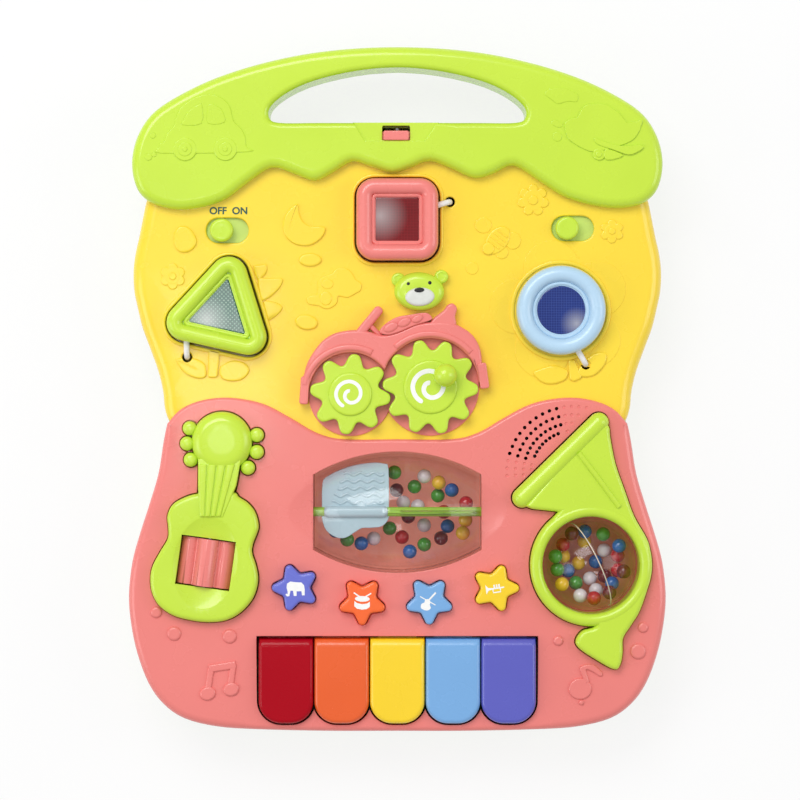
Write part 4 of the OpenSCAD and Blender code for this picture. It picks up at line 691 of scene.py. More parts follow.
front_cuts = [cut_by(well, 26) for well in WELLS]
front_cuts += [cut_by(rounded_box(22, 13, 6.48, 10, at), 30) for at, _ in SWITCHES]
front_cuts += [cut_by(rounded_box(40.4, 17, 6, 6, (knob + 3, at[1])), 30, 40) for at, knob in SWITCHES]
front_cuts += [tether_holes(2.6, 10, 50), tether_holes(4.2, 10, 39.4)]
yellow = housing("yellow_front", upper_line, 20, YELLOW_TOP, front_cuts, upper_roll, "yellow_plastic", 7)
placed(yellow, "panel", "yellow_plastic", "upper_panel")

for word, outer, well in zip(SHAPES, RIMS, WELLS):
    rim = housing(word + "_rim", outer, 41.6, 43.5, [cut_by(well, 30)],
                  lambda x, y, z: 0.8 if z > 43 else 0, "yellow_plastic", 4)
    placed(rim, "panel", "yellow_plastic")

# %% [markdown]
# ## The pink front
#
# Its upper edge lies over the yellow front as a thin rounded lip, and its sides go on with the same
# shoulder. Five keys sit in a bay with a scalloped lower lip, the bead drum in a lens-shaped window, and
# the guitar and the horn in openings of their own shape. A shallow oval dish lies round the drum, and
# small holes in arcs let the sound out.

# %% Pink front
GUITAR_BODY = [(-85.8, -53.4), (-82.2, -56), (-77.5, -59.1), (-73.8, -63.8), (-72, -70.6), (-72.8, -74.7),
               (-74.9, -80.2), (-75.4, -85.1), (-73.3, -91.9), (-72.3, -99.7), (-74.9, -108.5),
               (-81.1, -115.8), (-88.9, -120), (-98, -121), (-107.1, -120), (-116.5, -117.4),
               (-123.8, -112.2), (-127.4, -105.4), (-128.2, -97.9), (-126.9, -91.4), (-122.7, -83.6),
               (-119.1, -77.3), (-119, -71), (-119.4, -66), (-117.2, -60.6), (-112.3, -57),
               (-103.6, -54.2)]
GUITAR_HEAD, GUITAR_HEAD_R, PEG_R = (-91.1, -27.3), 15.7, 3.7
GUITAR_PEGS = [(-107.8, -20.3), (-109.2, -28.2), (-107.3, -36.6), (-73, -23.8), (-73, -32.6),
               (-77.6, -40.8)]
HORN_BELL = [(104, -16), (109.6, -19), (110.6, -25.3), (113.3, -38.8), (118, -52.3), (122.9, -65.8),
             (129.4, -77.3)]
BELL_INNER = [(100, -84), (76, -72), (83.4, -63.6), (70, -62.2), (66, -60.6)]
HORN_TAIL = [(130.8, -100.5), (126, -114.8), (121, -123.1), (117.2, -129.4), (117, -136.5),
             (115.6, -143.4), (112.4, -145.4), (103, -140.4), (94.4, -134.6), (92.6, -130.4),
             (96.1, -125.4), (103.1, -122.6), (108, -112)]
HORN_RIM = [(64.8, -56.4), (104.6, -17.3)]
BALL_AT, BALL_Z, BALL_R = (100.6, -91.4), 35, 24
DRUM_AT, DRUM_Z, DRUM_HALF = (0, -64), 35.5, (42.5, 30.5, 18.8)
WINDOW_HALF = (43.8, 31.5, 19.5)
SOUND_AT, SOUND_ARCS, SOUND_STEP = (91.5, -43.5), (34.5, 30.1, 25.8, 21.8), 6.5
ROLLER_AT, ROLLER_TURN = (-99.5, -90.1), -8
STARS = [(-52.9, -103.1, 180), (-18.2, -110.2, -90), (16.6, -109.9, -90), (51, -103.3, 0)]
KEY_PITCH, KEY_TOP, KEY_END, KEY_CORNER, HINGE = 28.9, -129.3, -173.6, 11.6, (-126.6, 37)
KEY_X = [(k - 2) * KEY_PITCH for k in range(5)]


def grown(outline, d):
    """The outline moved outwards by d, with the corners kept."""
    area = sum(a[0] * b[1] - b[0] * a[1] for a, b in zip(outline, outline[1:] + outline[:1]))
    side, count, out = (1 if area > 0 else -1), len(outline), []
    for i in range(count):
        p, q, r = Vector(outline[i - 1]), Vector(outline[i]), Vector(outline[(i + 1) % count])
        a, b = (q - p).normalized(), (r - q).normalized()
        na, nb = Vector((a.y, -a.x)) * side, Vector((b.y, -b.x)) * side
        m = (na + nb).normalized()
        out.append(tuple(q + m * d / max(0.6, m.dot(nb))))
    return out


def arc_height(x, half):
    k = half[1] - half[2]
    r = (half[0] ** 2 + k * k) / (2 * k)
    return half[1] - r + math.sqrt(r * r - x * x)


def lens(half, count=32):
    xs = [-half[0] + 2 * half[0] * i / count for i in range(count + 1)]
    upper = [(x, arc_height(x, half)) for x in xs]
    return turned(upper + [(x, -y) for x, y in reversed(upper)], 0, DRUM_AT)



def filleted(corners, steps=6):
    """An outline from corners (x, y, radius), each turned into an arc."""
    points = []
    for before, (x, y, r), after in zip(corners[-1:] + corners[:-1], corners, corners[1:] + corners[:1]):
        p, a, b = Vector((x, y)), Vector(before[:2]), Vector(after[:2])
        u, v = (a - p).normalized(), (b - p).normalized()
        half = math.acos(max(-1, min(1, u.dot(v)))) / 2
        centre = p + (u + v).normalized() * r / math.sin(half)
        first, last = p + u * r / math.tan(half) - centre, p + v * r / math.tan(half) - centre
        sweep = first.angle_signed(last)
        for i in range(steps + 1):
            points.append(around(centre, r, math.atan2(first.y, first.x) - sweep * i / steps))
    return points


def star(grow=0.0, at=(0, 0), turn=0):
    corners = []
    for k in range(5):
        for reach, r, a in ((15.2 + 1.5 * grow, 2.2 + grow, 72 * k), (7.4 + grow, 2.4 - grow, 72 * k + 36)):
            corners.append((*around((0, 0), reach, math.radians(a)), r))
    return turned(filleted(corners), turn, at)


def key_outline(k, d=0.0, top=None):
    """d millimetres smaller all round, with two round corners at the player's end."""
    w, r, x, top = 28.4 / 2 - d, KEY_CORNER - d, KEY_X[k], (KEY_TOP - d if top is None else top)
    points = [(x + w, top), (x - w, top)]
    for side, first in ((-1, 180), (1, 270)):
        for i in range(13):
            corner = (x + side * (w - r), KEY_END + KEY_CORNER)
            points.append(around(corner, r, math.radians(first + 90 * i / 12)))
    return points


window = lens(WINDOW_HALF)
guitar_line = smooth_loop(GUITAR_BODY, 4)
tail_line = smooth_line([(132.3, -91)] + HORN_TAIL, 4) + [(112, -100)]
bell_line = smooth_line(HORN_BELL + [(131.5, -84.5), (132.3, -91)], 4) + [(118, -95)] + BELL_INNER
neck = [(-103.3, -36), (-81, -36), (-83.5, -50), (-86.8, -58), (-90.4, -66.5), (-102.6, -66.5),
        (-103.3, -50)]
neck_hole = [(-103.8, -36), (-80.5, -36), (-83, -50), (-85.5, -60), (-104.5, -60), (-104, -50)]
grille, dimples = [], []
for row, reach in enumerate(SOUND_ARCS):
    inmost = row == len(SOUND_ARCS) - 1
    holes = [104.5 + SOUND_STEP * (k + inmost) for k in range(8 if inmost else 10)]
    blind = [98 - SOUND_STEP * k for k in range(4 - row)]
    blind += [169.5 + SOUND_STEP * k for k in range(2 if inmost else 3)]
    grille += [around(SOUND_AT, reach, math.radians(a)) for a in holes]
    dimples += [around(SOUND_AT, reach, math.radians(a)) for a in blind]
rim_middle = [(a + b) / 2 for a, b in zip(*HORN_RIM)]
rim_length = math.dist(*HORN_RIM)


def pink_roll(x, y, z):
    if z < 43:
        return 0
    if near((x, y), lower_line, 0.1):
        if y < -172:
            return min(4.4, 2.9 + max(0, abs(x) - 78) * 0.2)
        if y < -18.5 and not (y > -27 and abs(x) < 60):
            return max(1.6, min(4.4, 2.1 + (-18.5 - y) * 0.4))
        return 2
    if y < KEY_END + 18 and abs(x) < 75:
        return 0
    if any(math.dist((x, y), g) < 1.5 for g in grille + dimples):
        return 0.15
    return 0.7 if -128 < y and any(math.dist((x, y), at[:2]) < 17 for at in STARS) else 0.35


pink_cuts = [
    cut_by(box(-117, -30, 117, 10), 19, 42), cut_by(box(-130, -18.3, 130, 10), 19, 42),
    cut_by(box(-78, -172, 78, -96), 19, 40), dish_cutter(DRUM_AT, 57.5, 24, 2.4, PINK_TOP)]
openings = [window, grown(guitar_line, 0.5), circle(GUITAR_HEAD, GUITAR_HEAD_R + 0.5), neck_hole]
openings += [circle(peg, PEG_R + 0.5, 32) for peg in GUITAR_PEGS]
openings += [circle(BALL_AT, 32.2, 96), grown(bell_line, 0.5), grown(tail_line, 0.5)]
openings += [circle(end, 5.7, 40) for end in HORN_RIM]
openings += [rounded_box(rim_length, 11.4, 0.2, 1, rim_middle, 44.5)]
openings += [star(0.6, (x, y), turn) for x, y, turn in STARS]
openings += [key_outline(k, -1.1, KEY_TOP + 0.8) for k in range(5)]
openings += [box(-73.15, KEY_END + 15, 73.15, KEY_TOP + 0.8)]
pink_cuts += [cut_by(line) for line in openings]
pink_cuts += [cut_by(box(-73, -130, 73, -122.5), 30, 41.5)]
pink_cuts += [([circle(at, 0.95, 14) for at in grille], 30, 50)]
pink_cuts += [([circle(at, 0.8, 12) for at in dimples], 44.1, 50)]
pink = housing("pink_front", lower_line, 20, PINK_TOP, pink_cuts, pink_roll, "pink_plastic", 6)
placed(pink, "panel", "pink_plastic", "lower_panel")

# %% [markdown]
# ## Moulded pictures
#
# All over the fronts lie low pictures in the colour of their ground: a car and an aeroplane on the cover,
# flowers, leaves, a bee and a moon on the yellow front, notes and dots on the pink one. They are part of
# the moulding, from a third of a millimetre to one and a half high, with soft edges. Each is one or more
# outlines, raised and inset. Raising is simpler than sculpting and keeps the edge of every petal even.
# The holes for the cords also go through the leaves.

# %% Low reliefs
def relief(name, finish, face_z, *layers, holes=False):
    """Each layer is (rise, softness, outlines); the tether holes go through it if asked for."""
    bm = bmesh.new()
    for rise, soft, outlines in layers:
        for outline in outlines:
            raised(bm, outline, face_z - 0.4, face_z + rise, roll(soft, 4, 15, 90))
    piece = piece_from(name, bm, finish, degrees=50)
    if holes:
        combined(piece, cutter(*tether_holes(2.6, 30, 60)), True)
    return placed(settle(piece, 28), "panel", finish)


def stroke(points, width):
    """Outline of a line of even width."""
    side = []
    for i, p in enumerate(points):
        a, b = Vector(points[max(i - 1, 0)]), Vector(points[min(i + 1, len(points) - 1)])
        n = Vector((-(b - a).y, (b - a).x)).normalized() * width / 2
        side.append((Vector(p) + n, Vector(p) - n))
    return [tuple(s[0]) for s in side] + [tuple(s[1]) for s in reversed(side)]


def flower(at, petals, reach, radius, first=90):
    centres = [around(at, reach, math.radians(first + 360 * k / petals)) for k in range(petals)]
    return [circle(centre, radius, 28) for centre in centres]


def spots(count, *rounds):
    return [circle((x, y), r, count) for x, y, r in rounds]



CAR = [(-122.5, 122.2), (-123.5, 125.2), (-123, 127.5), (-121, 128.4), (-119.3, 132.6), (-116, 136.3),
       (-115.1, 139.6), (-113.2, 144.7), (-109.5, 148.4), (-104, 151.6), (-97.4, 153), (-91.4, 151.2),
       (-86.8, 146.5), (-84.9, 139.1), (-81.2, 135.4), (-78.9, 131.2), (-78.4, 126.6), (-77.5, 125.2),
       (-77.9, 122.9)]
CAR_WINDOWS = [[(-111.4, 136.9), (-110.9, 139.5), (-107.7, 144.7), (-103, 147.8), (-101.2, 147.3),
                (-101.4, 137.7)],
               [(-98.2, 137.7), (-98.2, 146), (-96.5, 147.9), (-92.4, 146.2), (-90, 143), (-89.5, 138.2)]]
PLANE = [(86.9, 135.9), (87.3, 138.6), (90.1, 140.3), (93.4, 141), (94.8, 143.8), (97.1, 147),
         (102.2, 147.9), (108.2, 147.5), (112.9, 144.7), (116.6, 141.4), (118.9, 138.2), (122.6, 138.6),
         (127, 139.6), (126.4, 136.5), (124.9, 132.8), (121, 128.5), (112, 125.2), (104, 123.4),
         (99.4, 123.4), (92.9, 126.6), (88.3, 130.3)]
WING = [(102.2, 130.3), (110.5, 127.2), (118.4, 126), (125.4, 126.6), (127.6, 125.4), (125, 123.2),
        (119.8, 121.5), (111.5, 124.2), (103.6, 127)]
CLOUD = [(76.6, 152.6), (77.6, 155.1), (81.3, 156.1), (86, 156.3), (89.6, 155), (93.4, 153), (93.8, 150.3),
         (92.4, 148.9), (88.7, 149.2), (85.5, 148.4), (82.7, 148), (80.4, 149.8)]
BLADE = [(108, 124.6), (116.6, 121.8), (115, 119.8), (108, 119)]
relief("car", "lime_plastic", COVER_TOP,
       (0.5, 0.5, [smooth_loop(CAR, 3)]), (0.75, 0.5, spots(48, (-110.1, 124.4, 6), (-89.2, 124.5, 6))),
       (1.1, 0.5, spots(40, (-110.1, 124.4, 3.7), (-89.2, 124.5, 3.6))),
       (1.5, 0.5, spots(24, (-110.1, 124.4, 1.4), (-89.2, 124.5, 1.4))),
       (0.9, 0.5, [smooth_loop(line, 3) for line in CAR_WINDOWS]),
       (0.4, 0.4, spots(20, (-126.8, 131.6, 1.6), (-129, 120.4, 1.9), (-126.2, 121.6, 1.3))))
relief("aeroplane", "lime_plastic", COVER_TOP,
       (0.8, 0.4, [smooth_loop(PLANE, 3)]), (1.4, 0.4, [smooth_loop(WING, 3)]),
       (0.4, 0.4, [smooth_loop(CLOUD, 3)]),
       (1, 0.6, spots(32, (104.6, 121.8, 3.2)) + [smooth_loop(BLADE, 4)]),
       (1.5, 0.5, spots(24, (104.5, 121.8, 1.7))),
       (0.35, 0.35, [ellipse((82.8, 137.6), 3.2, 1.7, 24, -20), ellipse((83, 131), 2.4, 2.6, 24)]))
DROP = [(-112.7, 85), (-108, 83.8), (-104.8, 79), (-104.9, 75), (-108, 71.9), (-112, 71.2), (-114.9, 72.8),
        (-116.4, 76.8), (-115.9, 82)]
LEAVES = [
    [(-115.1, 15.7), (-109.6, 16.5), (-103.2, 15.3), (-99.7, 12.2), (-99.7, 6.6), (-104, 5.6),
     (-110.4, 8.1), (-114.3, 12.9)],
    [(-92.9, 9.8), (-90.5, 13), (-84.9, 15), (-79.4, 13.7), (-76.9, 9.8), (-80.2, 5.4), (-85.7, 4.1),
     (-91.3, 5.4)],
    [(70.6, 8.6), (75, 10.9), (81.4, 12.5), (87.7, 10.5), (88.9, 7.8), (86.9, 4.5), (80.6, 2.6), (75, 3.8)],
    [(94.1, 9.8), (97.3, 14.5), (102.1, 18.5), (107.6, 19.3), (109.2, 16.9), (107.6, 12.1), (102.1, 7),
     (95.7, 6.6)],
    [(-75, 64), (-72, 64.7), (-68.3, 65.1), (-67.9, 61.5), (-70.2, 58.3), (-73, 57)],
    [(-72.6, 57), (-67.4, 57.9), (-60.3, 57.9), (-59.9, 55.1), (-62.7, 51.1), (-67.4, 47.2), (-71, 46.8)],
    [(-69.8, 45.3), (-64.3, 45.6), (-59.9, 43.2), (-61.1, 40), (-65, 36.8), (-67.4, 36.6)]]
STEMS = [filleted([(-98.4, 21, 1), (-92.2, 20.3, 1), (-93.6, 6, 1.5), (-98.8, 6, 1.5)]),
         filleted([(89, 15.3, 1), (92.4, 15.3, 1), (96.2, 6, 1.2), (92, 4, 1.5), (89.6, 5, 1.2)])]
MOON = [(-53.9, 95.7), (-51.8, 96.2), (-51, 91.5), (-48.8, 87.2), (-45, 84.9), (-39.8, 84.8), (-37.4, 83.8),
        (-38.4, 80.2), (-41.8, 76.8), (-46.6, 74.7), (-53, 75.5), (-57.7, 79), (-59.6, 84.5), (-58.2, 91)]
PUFFY = [(-41.2, 56.7), (-38.4, 58.8), (-34.2, 60.2), (-31.4, 63), (-27.3, 63.3), (-23.8, 60.9),
         (-21.7, 57.4), (-18.9, 55.3), (-18.9, 51.8), (-21.7, 49.8), (-25.9, 47.7), (-30.7, 48.4),
         (-31.4, 44.9), (-34.9, 42.1), (-38.4, 42.1), (-41.2, 43.5), (-46.1, 44.2), (-47.4, 47),
         (-45.4, 48.7), (-41.9, 49.1), (-41.5, 53.2)]
FLOWERS = [((-117, 58.8), 6, 4.2, 2.7, 4.2, 2), ((70.7, 98.5), 7, 5.8, 2.6, 5.6, 2.6),
           ((111.8, 82.3), 6, 4, 2.3, 4, 1.8)]
BEE_AT, BEE_TURN = (52.2, 77.6), 52
relief("petals", "yellow_plastic", YELLOW_TOP, (0.3, 0.25, flower(ROUND_AT, 5, 22.5, 14.6, 30)))
relief("flowers", "yellow_plastic", YELLOW_TOP,
       (0.7, 0.7, [petal for *shape, _, _ in FLOWERS for petal in flower(*shape)]),
       (0.78, 0.6, [circle(at, disc, 32) for at, *_, disc, _ in FLOWERS]),
       (1.4, 0.6, [circle(at, middle, 24) for at, *_, middle in FLOWERS]))
relief("garden", "yellow_plastic", YELLOW_TOP,
       (1.5, 1.2, [smooth_loop(DROP, 4), ellipse((-45.4, 67.4), 6, 3.5, 40),
                   ellipse((-47.3, 34.9), 6, 4, 40, -8)]),
       (1.4, 0.9, [smooth_loop(MOON, 4)]), (0.8, 0.6, [smooth_loop(PUFFY, 4)]),
       (1.2, 0.9, [ellipse((-37.2, 47.4), 3.4, 3.9, 32), ellipse((-36.4, 54.8), 3.4, 2.8, 32)]),
       (0.4, 0.4, spots(28, (39, 63, 3.3))))
relief("leaves", "yellow_plastic", YELLOW_TOP,
       (1.4, 1.1, [smooth_loop(leaf, 4) for leaf in LEAVES]), (1.5, 0.9, STEMS), holes=True)
stripes = [turned([(k, -4.4 + abs(k) * 0.3), (k, 4.4 - abs(k) * 0.3)], BEE_TURN, BEE_AT)
           for k in (-3, -0.6, 1.8, 4.2)]
relief("bee", "yellow_plastic", YELLOW_TOP,
       (0.5, 0.5, [ellipse((44.8, 85.4), 4.4, 4.2, 36), ellipse((60.2, 77.4), 4.2, 4.6, 36),
                   circle((54.4, 71.4), 3.6, 28)]),
       (1, 0.9, [ellipse(BEE_AT, 8.2, 5.6, 48, BEE_TURN)]), (1.5, 0.7, spots(28, (47.4, 73.2, 3.2))),
       *[(1.45, 0.4, [stroke(line, 0.9)]) for line in stripes])
NOTE = [(95.1, -144.4), (101.6, -143), (106.6, -147.4), (105.6, -149.4), (101.6, -147), (98.2, -146),
        (99.8, -152), (98, -153.4), (96, -149)]
PAIR = [stroke([(-98.6, -157.6), (-96.8, -145)], 3.2), stroke([(-86.8, -154.6), (-85.2, -143)], 3.2),
        stroke([(-98, -145.4), (-84, -143.2)], 4)]
DOTS = [(-125.4, -116, 3.1), (-116.1, -127.1, 3.8), (-87.2, -128.5, 3.8), (83.7, -130.8, 2.7),
        (127.8, -123.9, 2.8), (125.2, -136.3, 4.2), (95.7, -162.9, 1.3)]
relief("notes", "pink_plastic", PINK_TOP,
       (1.2, 0.9, [smooth_loop(NOTE, 4), ellipse((95.1, -155.8), 6, 5.5, 40)]),
       *[(rise, 0.9, [line]) for rise, line in zip((1.1, 1.13, 1.2), PAIR)],
       (1.4, 1.2, [ellipse((-98.6, -158.2), 4.2, 3.6, 32, 15), ellipse((-86.4, -156), 4.2, 3.6, 32, 15)]),
       *[(1.3, 0.8 * min(r, 2), spots(32, (x, y, r))) for x, y, r in DOTS])

# %% [markdown]
# ## The back shell
#
# Below the parting line the back shell carries hooks, a battery bay and screw wells. Its CAD node has all
# of that, so a merged and smoothed copy of it is enough. The battery door, the roller, the clear ball and
# the drum's axle are treated the same way. The other inner parts stay as CAD nodes, because little of
# them is seen.

# %% Smoothed CAD shells
for node in ("back_shell", "battery_door", "guitar_roller", "ball_shell", "drum_axle"):
    smoothed_node(node)

# %% [markdown]
# ## Shape blocks
#
# A block is a hollow button with a fat rolled rim, a groove inside it, and a thin raised frame round a
# dark window. Raising and insetting its outline face follows exactly that section: up the wall, nearly
# half a circle over the rim, down into the groove. The frame and the window are raised from the groove's
# floor in the same way.

# %% Square, three-cornered and round block
BLOCK_FOOT, BLOCK_TOP, RIM_R = 28.4, 54, 4.2


def block(word, outline, frame_line, glass_line, slot, window_slot):
    name = word + "_block"
    bm = bmesh.new()
    face = face_of(bm, outline, BLOCK_FOOT)
    face = extruded(bm, face, BLOCK_TOP - RIM_R - BLOCK_FOOT)
    for inwards, rise in roll(RIM_R, 14, 0, 158):
        narrowed(bm, face, inwards, rise)
    narrowed(bm, face, 0.25, -1.6)
    raised(bm, frame_line, 44, 49.1, roll(0.8, 4), [(0.55, 0), (0.5, -0.4), (0.1, -1.4)])
    piece = piece_from(name + "_form", bm, slot, None)
    glass = bmesh.new()
    raised(glass, glass_line, 44, 50, [(0.3, 0.2), (0.3, 0.06)])
    piece_from(name + "_window", glass, window_slot, name, window_slot, (word + "_lens",), 30)
    placed(piece, name, slot, name)


block("square", rounded_box(42.5, 42.5, 9.5, 12, SQUARE_AT), rounded_box(27, 27, 3, 6, SQUARE_AT),
      rounded_box(22.6, 22.6, 0.9, 3, SQUARE_AT), "pink_plastic", "red_window")
block("triangle", three_cornered(66.5, 9.5), three_cornered(39, 2.6, 6), three_cornered(31, 0.9, 4),
      "lime_plastic", "green_window")
block("round", circle(ROUND_AT, 23.1, 96), circle(ROUND_AT, 15, 64), circle(ROUND_AT, 12.6, 64),
      "pale_blue_plastic", "blue_window")
print("blocks stand", BLOCK_TOP, "mm high")

# %% [markdown]
# ## Tether cords
#
# Each block hangs on a short smooth cord that goes from its side over the front and down a hole to a
# knot. A curve with a round bevel is the natural way to make it. It is turned into a mesh and its ends
# are closed.

# %% Cords
def tube_mesh(name, points, radius):
    curve = bpy.data.curves.new(name, "CURVE")
    curve.dimensions, curve.bevel_depth, curve.bevel_resolution = "3D", radius * MM, 6
    curve.use_fill_caps = True
    spline = curve.splines.new("NURBS")
    spline.points.add(len(points) - 1)
    for place, (x, y, z) in zip(spline.points, points):
        place.co = (x * MM, y * MM, z * MM, 1)
    spline.order_u, spline.use_endpoint_u, spline.resolution_u = 3, True, 8
    source = linked(name + "_curve", curve)
    bm = bmesh.new()
    bm.from_mesh(evaluated(source))
    bpy.data.objects.remove(source)
    bmesh.ops.remove_doubles(bm, verts=bm.verts, dist=MERGE)
    return bm


def tube(name, points, radius, finish, body="panel", slot=None):
    return piece_from(name, tube_mesh(name, points, radius), finish, body, slot, (), 50, False)


KNOT_Z = 13.5
for word, ((ax, ay), (bx, by)) in zip(SHAPES, TETHERS):
    route = [(ax + (bx - ax) * t, ay + (by - ay) * t, z)
             for t, z in ((0, 45.4), (0.3, 45.6), (0.6, 45.3), (0.88, 44.2))]
    route += [(bx, by, z) for z in (41.4, 35.4, 24, KNOT_Z)]
    bm = tube_mesh("cord", route, 1.5)
    knot = bmesh.ops.create_uvsphere(bm, u_segments=20, v_segments=12, radius=3 * MM)["verts"]
    bmesh.ops.scale(bm, vec=(1, 1, 0.8), verts=knot)
    moved(bm, knot, bx, by, KNOT_Z)
    piece_from(word + "_cord", bm, "white_cord", word + "_block", "white_cord", (word + "_tether",),
               60, False)

# %% [markdown]
# ## Gears
#
# A gear's outline comes from one formula: the radius swings up and down once per tooth, and a cubic term
# makes the flanks steep and the tips broad. A small bevel round the teeth catches the light, the hub
# stands a little higher, and a white spiral is printed on it. A printed line is modelled as a thin flat
# ribbon on the surface.

# %% Two gears and the crank knob
TOOTH, GEAR_Z, GEAR_T = 5.7, 44, 6
SMALL_AT, BIG_AT = (-24.4, -2.6), (17.206, 1.187)


def gear_line(teeth, tip_r, first, at, per_tooth=20):
    points = []
    for i in range(teeth * per_tooth):
        a = 2 * math.pi * i / (teeth * per_tooth)
        c = math.cos(teeth * a)
        r = tip_r - TOOTH / 2 + TOOTH / 2 * (c * (1.28 - 0.28 * c * c) + 0.12 * (1 - c * c))
        points.append(around(at, r, a + math.radians(first)))
    return points


def ribbon(points, width, z, thick=0.06):
    """Flat printed line: a row of quads made by bridging, then thickened."""
    bm = bmesh.new()
    left, right = [], []
    for i, p in enumerate(points):
        a, b = Vector(points[max(i - 1, 0)]), Vector(points[min(i + 1, len(points) - 1)])
        side = Vector((-(b - a).y, (b - a).x)).normalized() * width / 2
        if i in (0, len(points) - 1):
            side *= 0.55
        left.append(bm.verts.new(((p[0] + side.x) * MM, (p[1] + side.y) * MM, z * MM)))
        right.append(bm.verts.new(((p[0] - side.x) * MM, (p[1] - side.y) * MM, z * MM)))
    rows = [bm.edges.new(pair) for row in (left, right) for pair in zip(row, row[1:])]
    bmesh.ops.bridge_loops(bm, edges=rows)
    for face in bm.faces:
        face.normal_update()
        if face.normal.z < 0:
            face.normal_flip()
    bmesh.ops.solidify(bm, geom=bm.faces[:], thickness=thick * MM)
    return bm


def spiral(at, scale, start=243, turns=508):
    knots = [(0, 7.1), (63, 7.4), (153, 6.6), (243, 5.35), (333, 4.4), (423, 2.6), (508, 1.6)]
    points = []
    for i in range(73):
        a = turns * i / 72
        for (a0, r0), (a1, r1) in zip(knots, knots[1:]):
            if a0 <= a <= a1:
                r = r0 + (r1 - r0) * (a - a0) / (a1 - a0)
        points.append(around(at, scale * r, math.radians(start - a)))
    return points


def gear(teeth, tip_r, first, at, hub, scale):
    bm = bmesh.new()
    raised(bm, gear_line(teeth, tip_r, first, at), GEAR_Z, GEAR_Z + GEAR_T,
           [(0.15, 0.35), (0.55, 0.4), (0.45, 0.12)])
    raised(bm, circle(at, hub, 96), GEAR_Z + 4, GEAR_Z + GEAR_T + 1.2, [(0.3, 0.5), (0.5, 0.3), (0.6, 0.1)])
    raised(bm, circle(at, 3.5, 40), 38.8, GEAR_Z + 1)
    return bm, ribbon(spiral(at, scale), 1.9 * scale, GEAR_Z + GEAR_T + 1.28)


MODULE = 2.321
small_tip = MODULE * 8 + TOOTH * 0.41
big_tip = MODULE * 10 + TOOTH * 0.28
big_first = 5.2 + 180 - ((-7 - 5.2) / 45 + 0.5) * 36
bm, print_line = gear(8, small_tip, -7, SMALL_AT, 11.3, 1.0)
piece_from("small_gear_form", bm, "lime_plastic", "small_gear", "lime_plastic", ("small_gear",))
piece_from("small_spiral", print_line, "printed_white", "small_gear", "white_cord", (), 30, False)
bm, print_line = gear(10, big_tip, big_first, BIG_AT, 14, 1.25)
KNOB_Z, knob_at = 55.9, (BIG_AT[0] + 7.6, BIG_AT[1] + 6)
raised(bm, circle(knob_at, 6.1, 48), 49, 51.4)
ball = bmesh.ops.create_uvsphere(bm, u_segments=48, v_segments=24, radius=6.1 * MM)["verts"]
moved(bm, ball, *knob_at, KNOB_Z)
for v in ball:
    if v.co.z < KNOB_Z * MM:
        v.co.z = KNOB_Z * MM - (KNOB_Z * MM - v.co.z) * 0.85
piece_from("big_gear_form", bm, "lime_plastic", "big_gear", "lime_plastic", ("big_gear",))
piece_from("big_spiral", print_line, "printed_white", "big_gear", "white_cord", (), 30, False)
print("gear tips", round(small_tip, 1), round(big_tip, 1))

# %% [markdown]
# ## The bicycle and the bear
#
# Behind the gears lie two pink discs, and over them an arch follows both wheels. A saddle, a handlebar
# and a peak sit on top, and a small bear's head rides above. The arch is a prism that is cut by the room
# for the gears and then bevelled, while saddle and head are low domes, raised with many small insets.

# %% Bicycle frame
ARCH = [(-48.3, 8.1), (-46.1, 15), (-41.7, 21.9), (-37.3, 26.4), (-31, 29.5), (-22.2, 30.8), (-15, 30),
        (-9, 28.2), (-3, 28.8), (3, 31), (10, 34), (18, 35), (24.6, 35), (30.7, 33.6), (38.3, 28.9),
        (42.7, 21.9), (44, 13.7), (44, 4), (17, 3), (-24, -2), (-48.3, 0)]
SADDLE = [(-9.2, 29.6), (-7.1, 33.1), (-0.8, 37.2), (6.1, 38.6), (14.5, 39.7), (17.6, 37.9), (17.3, 35.8),
          (8.9, 33.1), (0.6, 29.6), (-5, 28.2)]
PEAK = [(17, 33), (18.7, 36.8), (23.8, 40.8), (26, 43.7), (28.8, 44.6), (31, 42.1), (30.1, 37.7),
        (30.4, 33), (24, 30)]

discs = bmesh.new()
raised(discs, circle(SMALL_AT, small_tip + 0.9, 96), 41.5, 43.3, roll(0.5, 3))
raised(discs, circle(BIG_AT, big_tip + 0.6, 96), 41.5, 43.4, roll(0.5, 3))
piece_from("wheel_discs", discs, "pink_plastic")
wheel_rooms = [circle(SMALL_AT, small_tip + 0.7, 96), circle(BIG_AT, big_tip + 0.4, 96)]
arch = housing("bicycle_arch", smooth_loop(ARCH, 5), 41.6, 48.4, [cut_by(room, 40) for room in wheel_rooms],
               lambda x, y, z: 1.6 if z > 48 and y > 9 else (0.8 if z > 48 else 0), "pink_plastic", 5)
placed(arch, "panel", "pink_plastic", "bicycle_frame")
trim = bmesh.new()
raised(trim, rounded_box(4.6, 14.4, 1.2, 4, (-48.2, -0.6), -4), 41.5, 49, roll(0.8, 4))
raised(trim, rounded_box(4.8, 13.4, 1.2, 4, (44.6, 7), 8), 41.5, 49, roll(0.8, 4))
raised(trim, smooth_loop(PEAK, 4), 41.5, 48, roll(1.4, 5))
raised(trim, smooth_loop(SADDLE, 4), 41.5, 49.4, roll(0.7, 4))
for x, y, r in ((-3.4, 32.2, 2.6), (3.6, 34.8, 2.4), (10.4, 36.6, 2)):
    raised(trim, ellipse((x, y), r * 1.6, r, 32, 26), 48.4, 50.4, roll(0.6 * r, 6, 10, 90))
raised(trim, rounded_box(19.5, 4.8, 2.2, 8, (-14.7, 35), 50.6), 41.5, 48.2, roll(1.5, 6))
raised(trim, stroke(arc(SMALL_AT, 24.4, 170, 62, 24), 3.6), 47.8, 49.4, roll(1.5, 6))
raised(trim, stroke(arc(BIG_AT, 27.6, 132, 40, 24), 3.4), 47.8, 49.2, roll(1.4, 6))
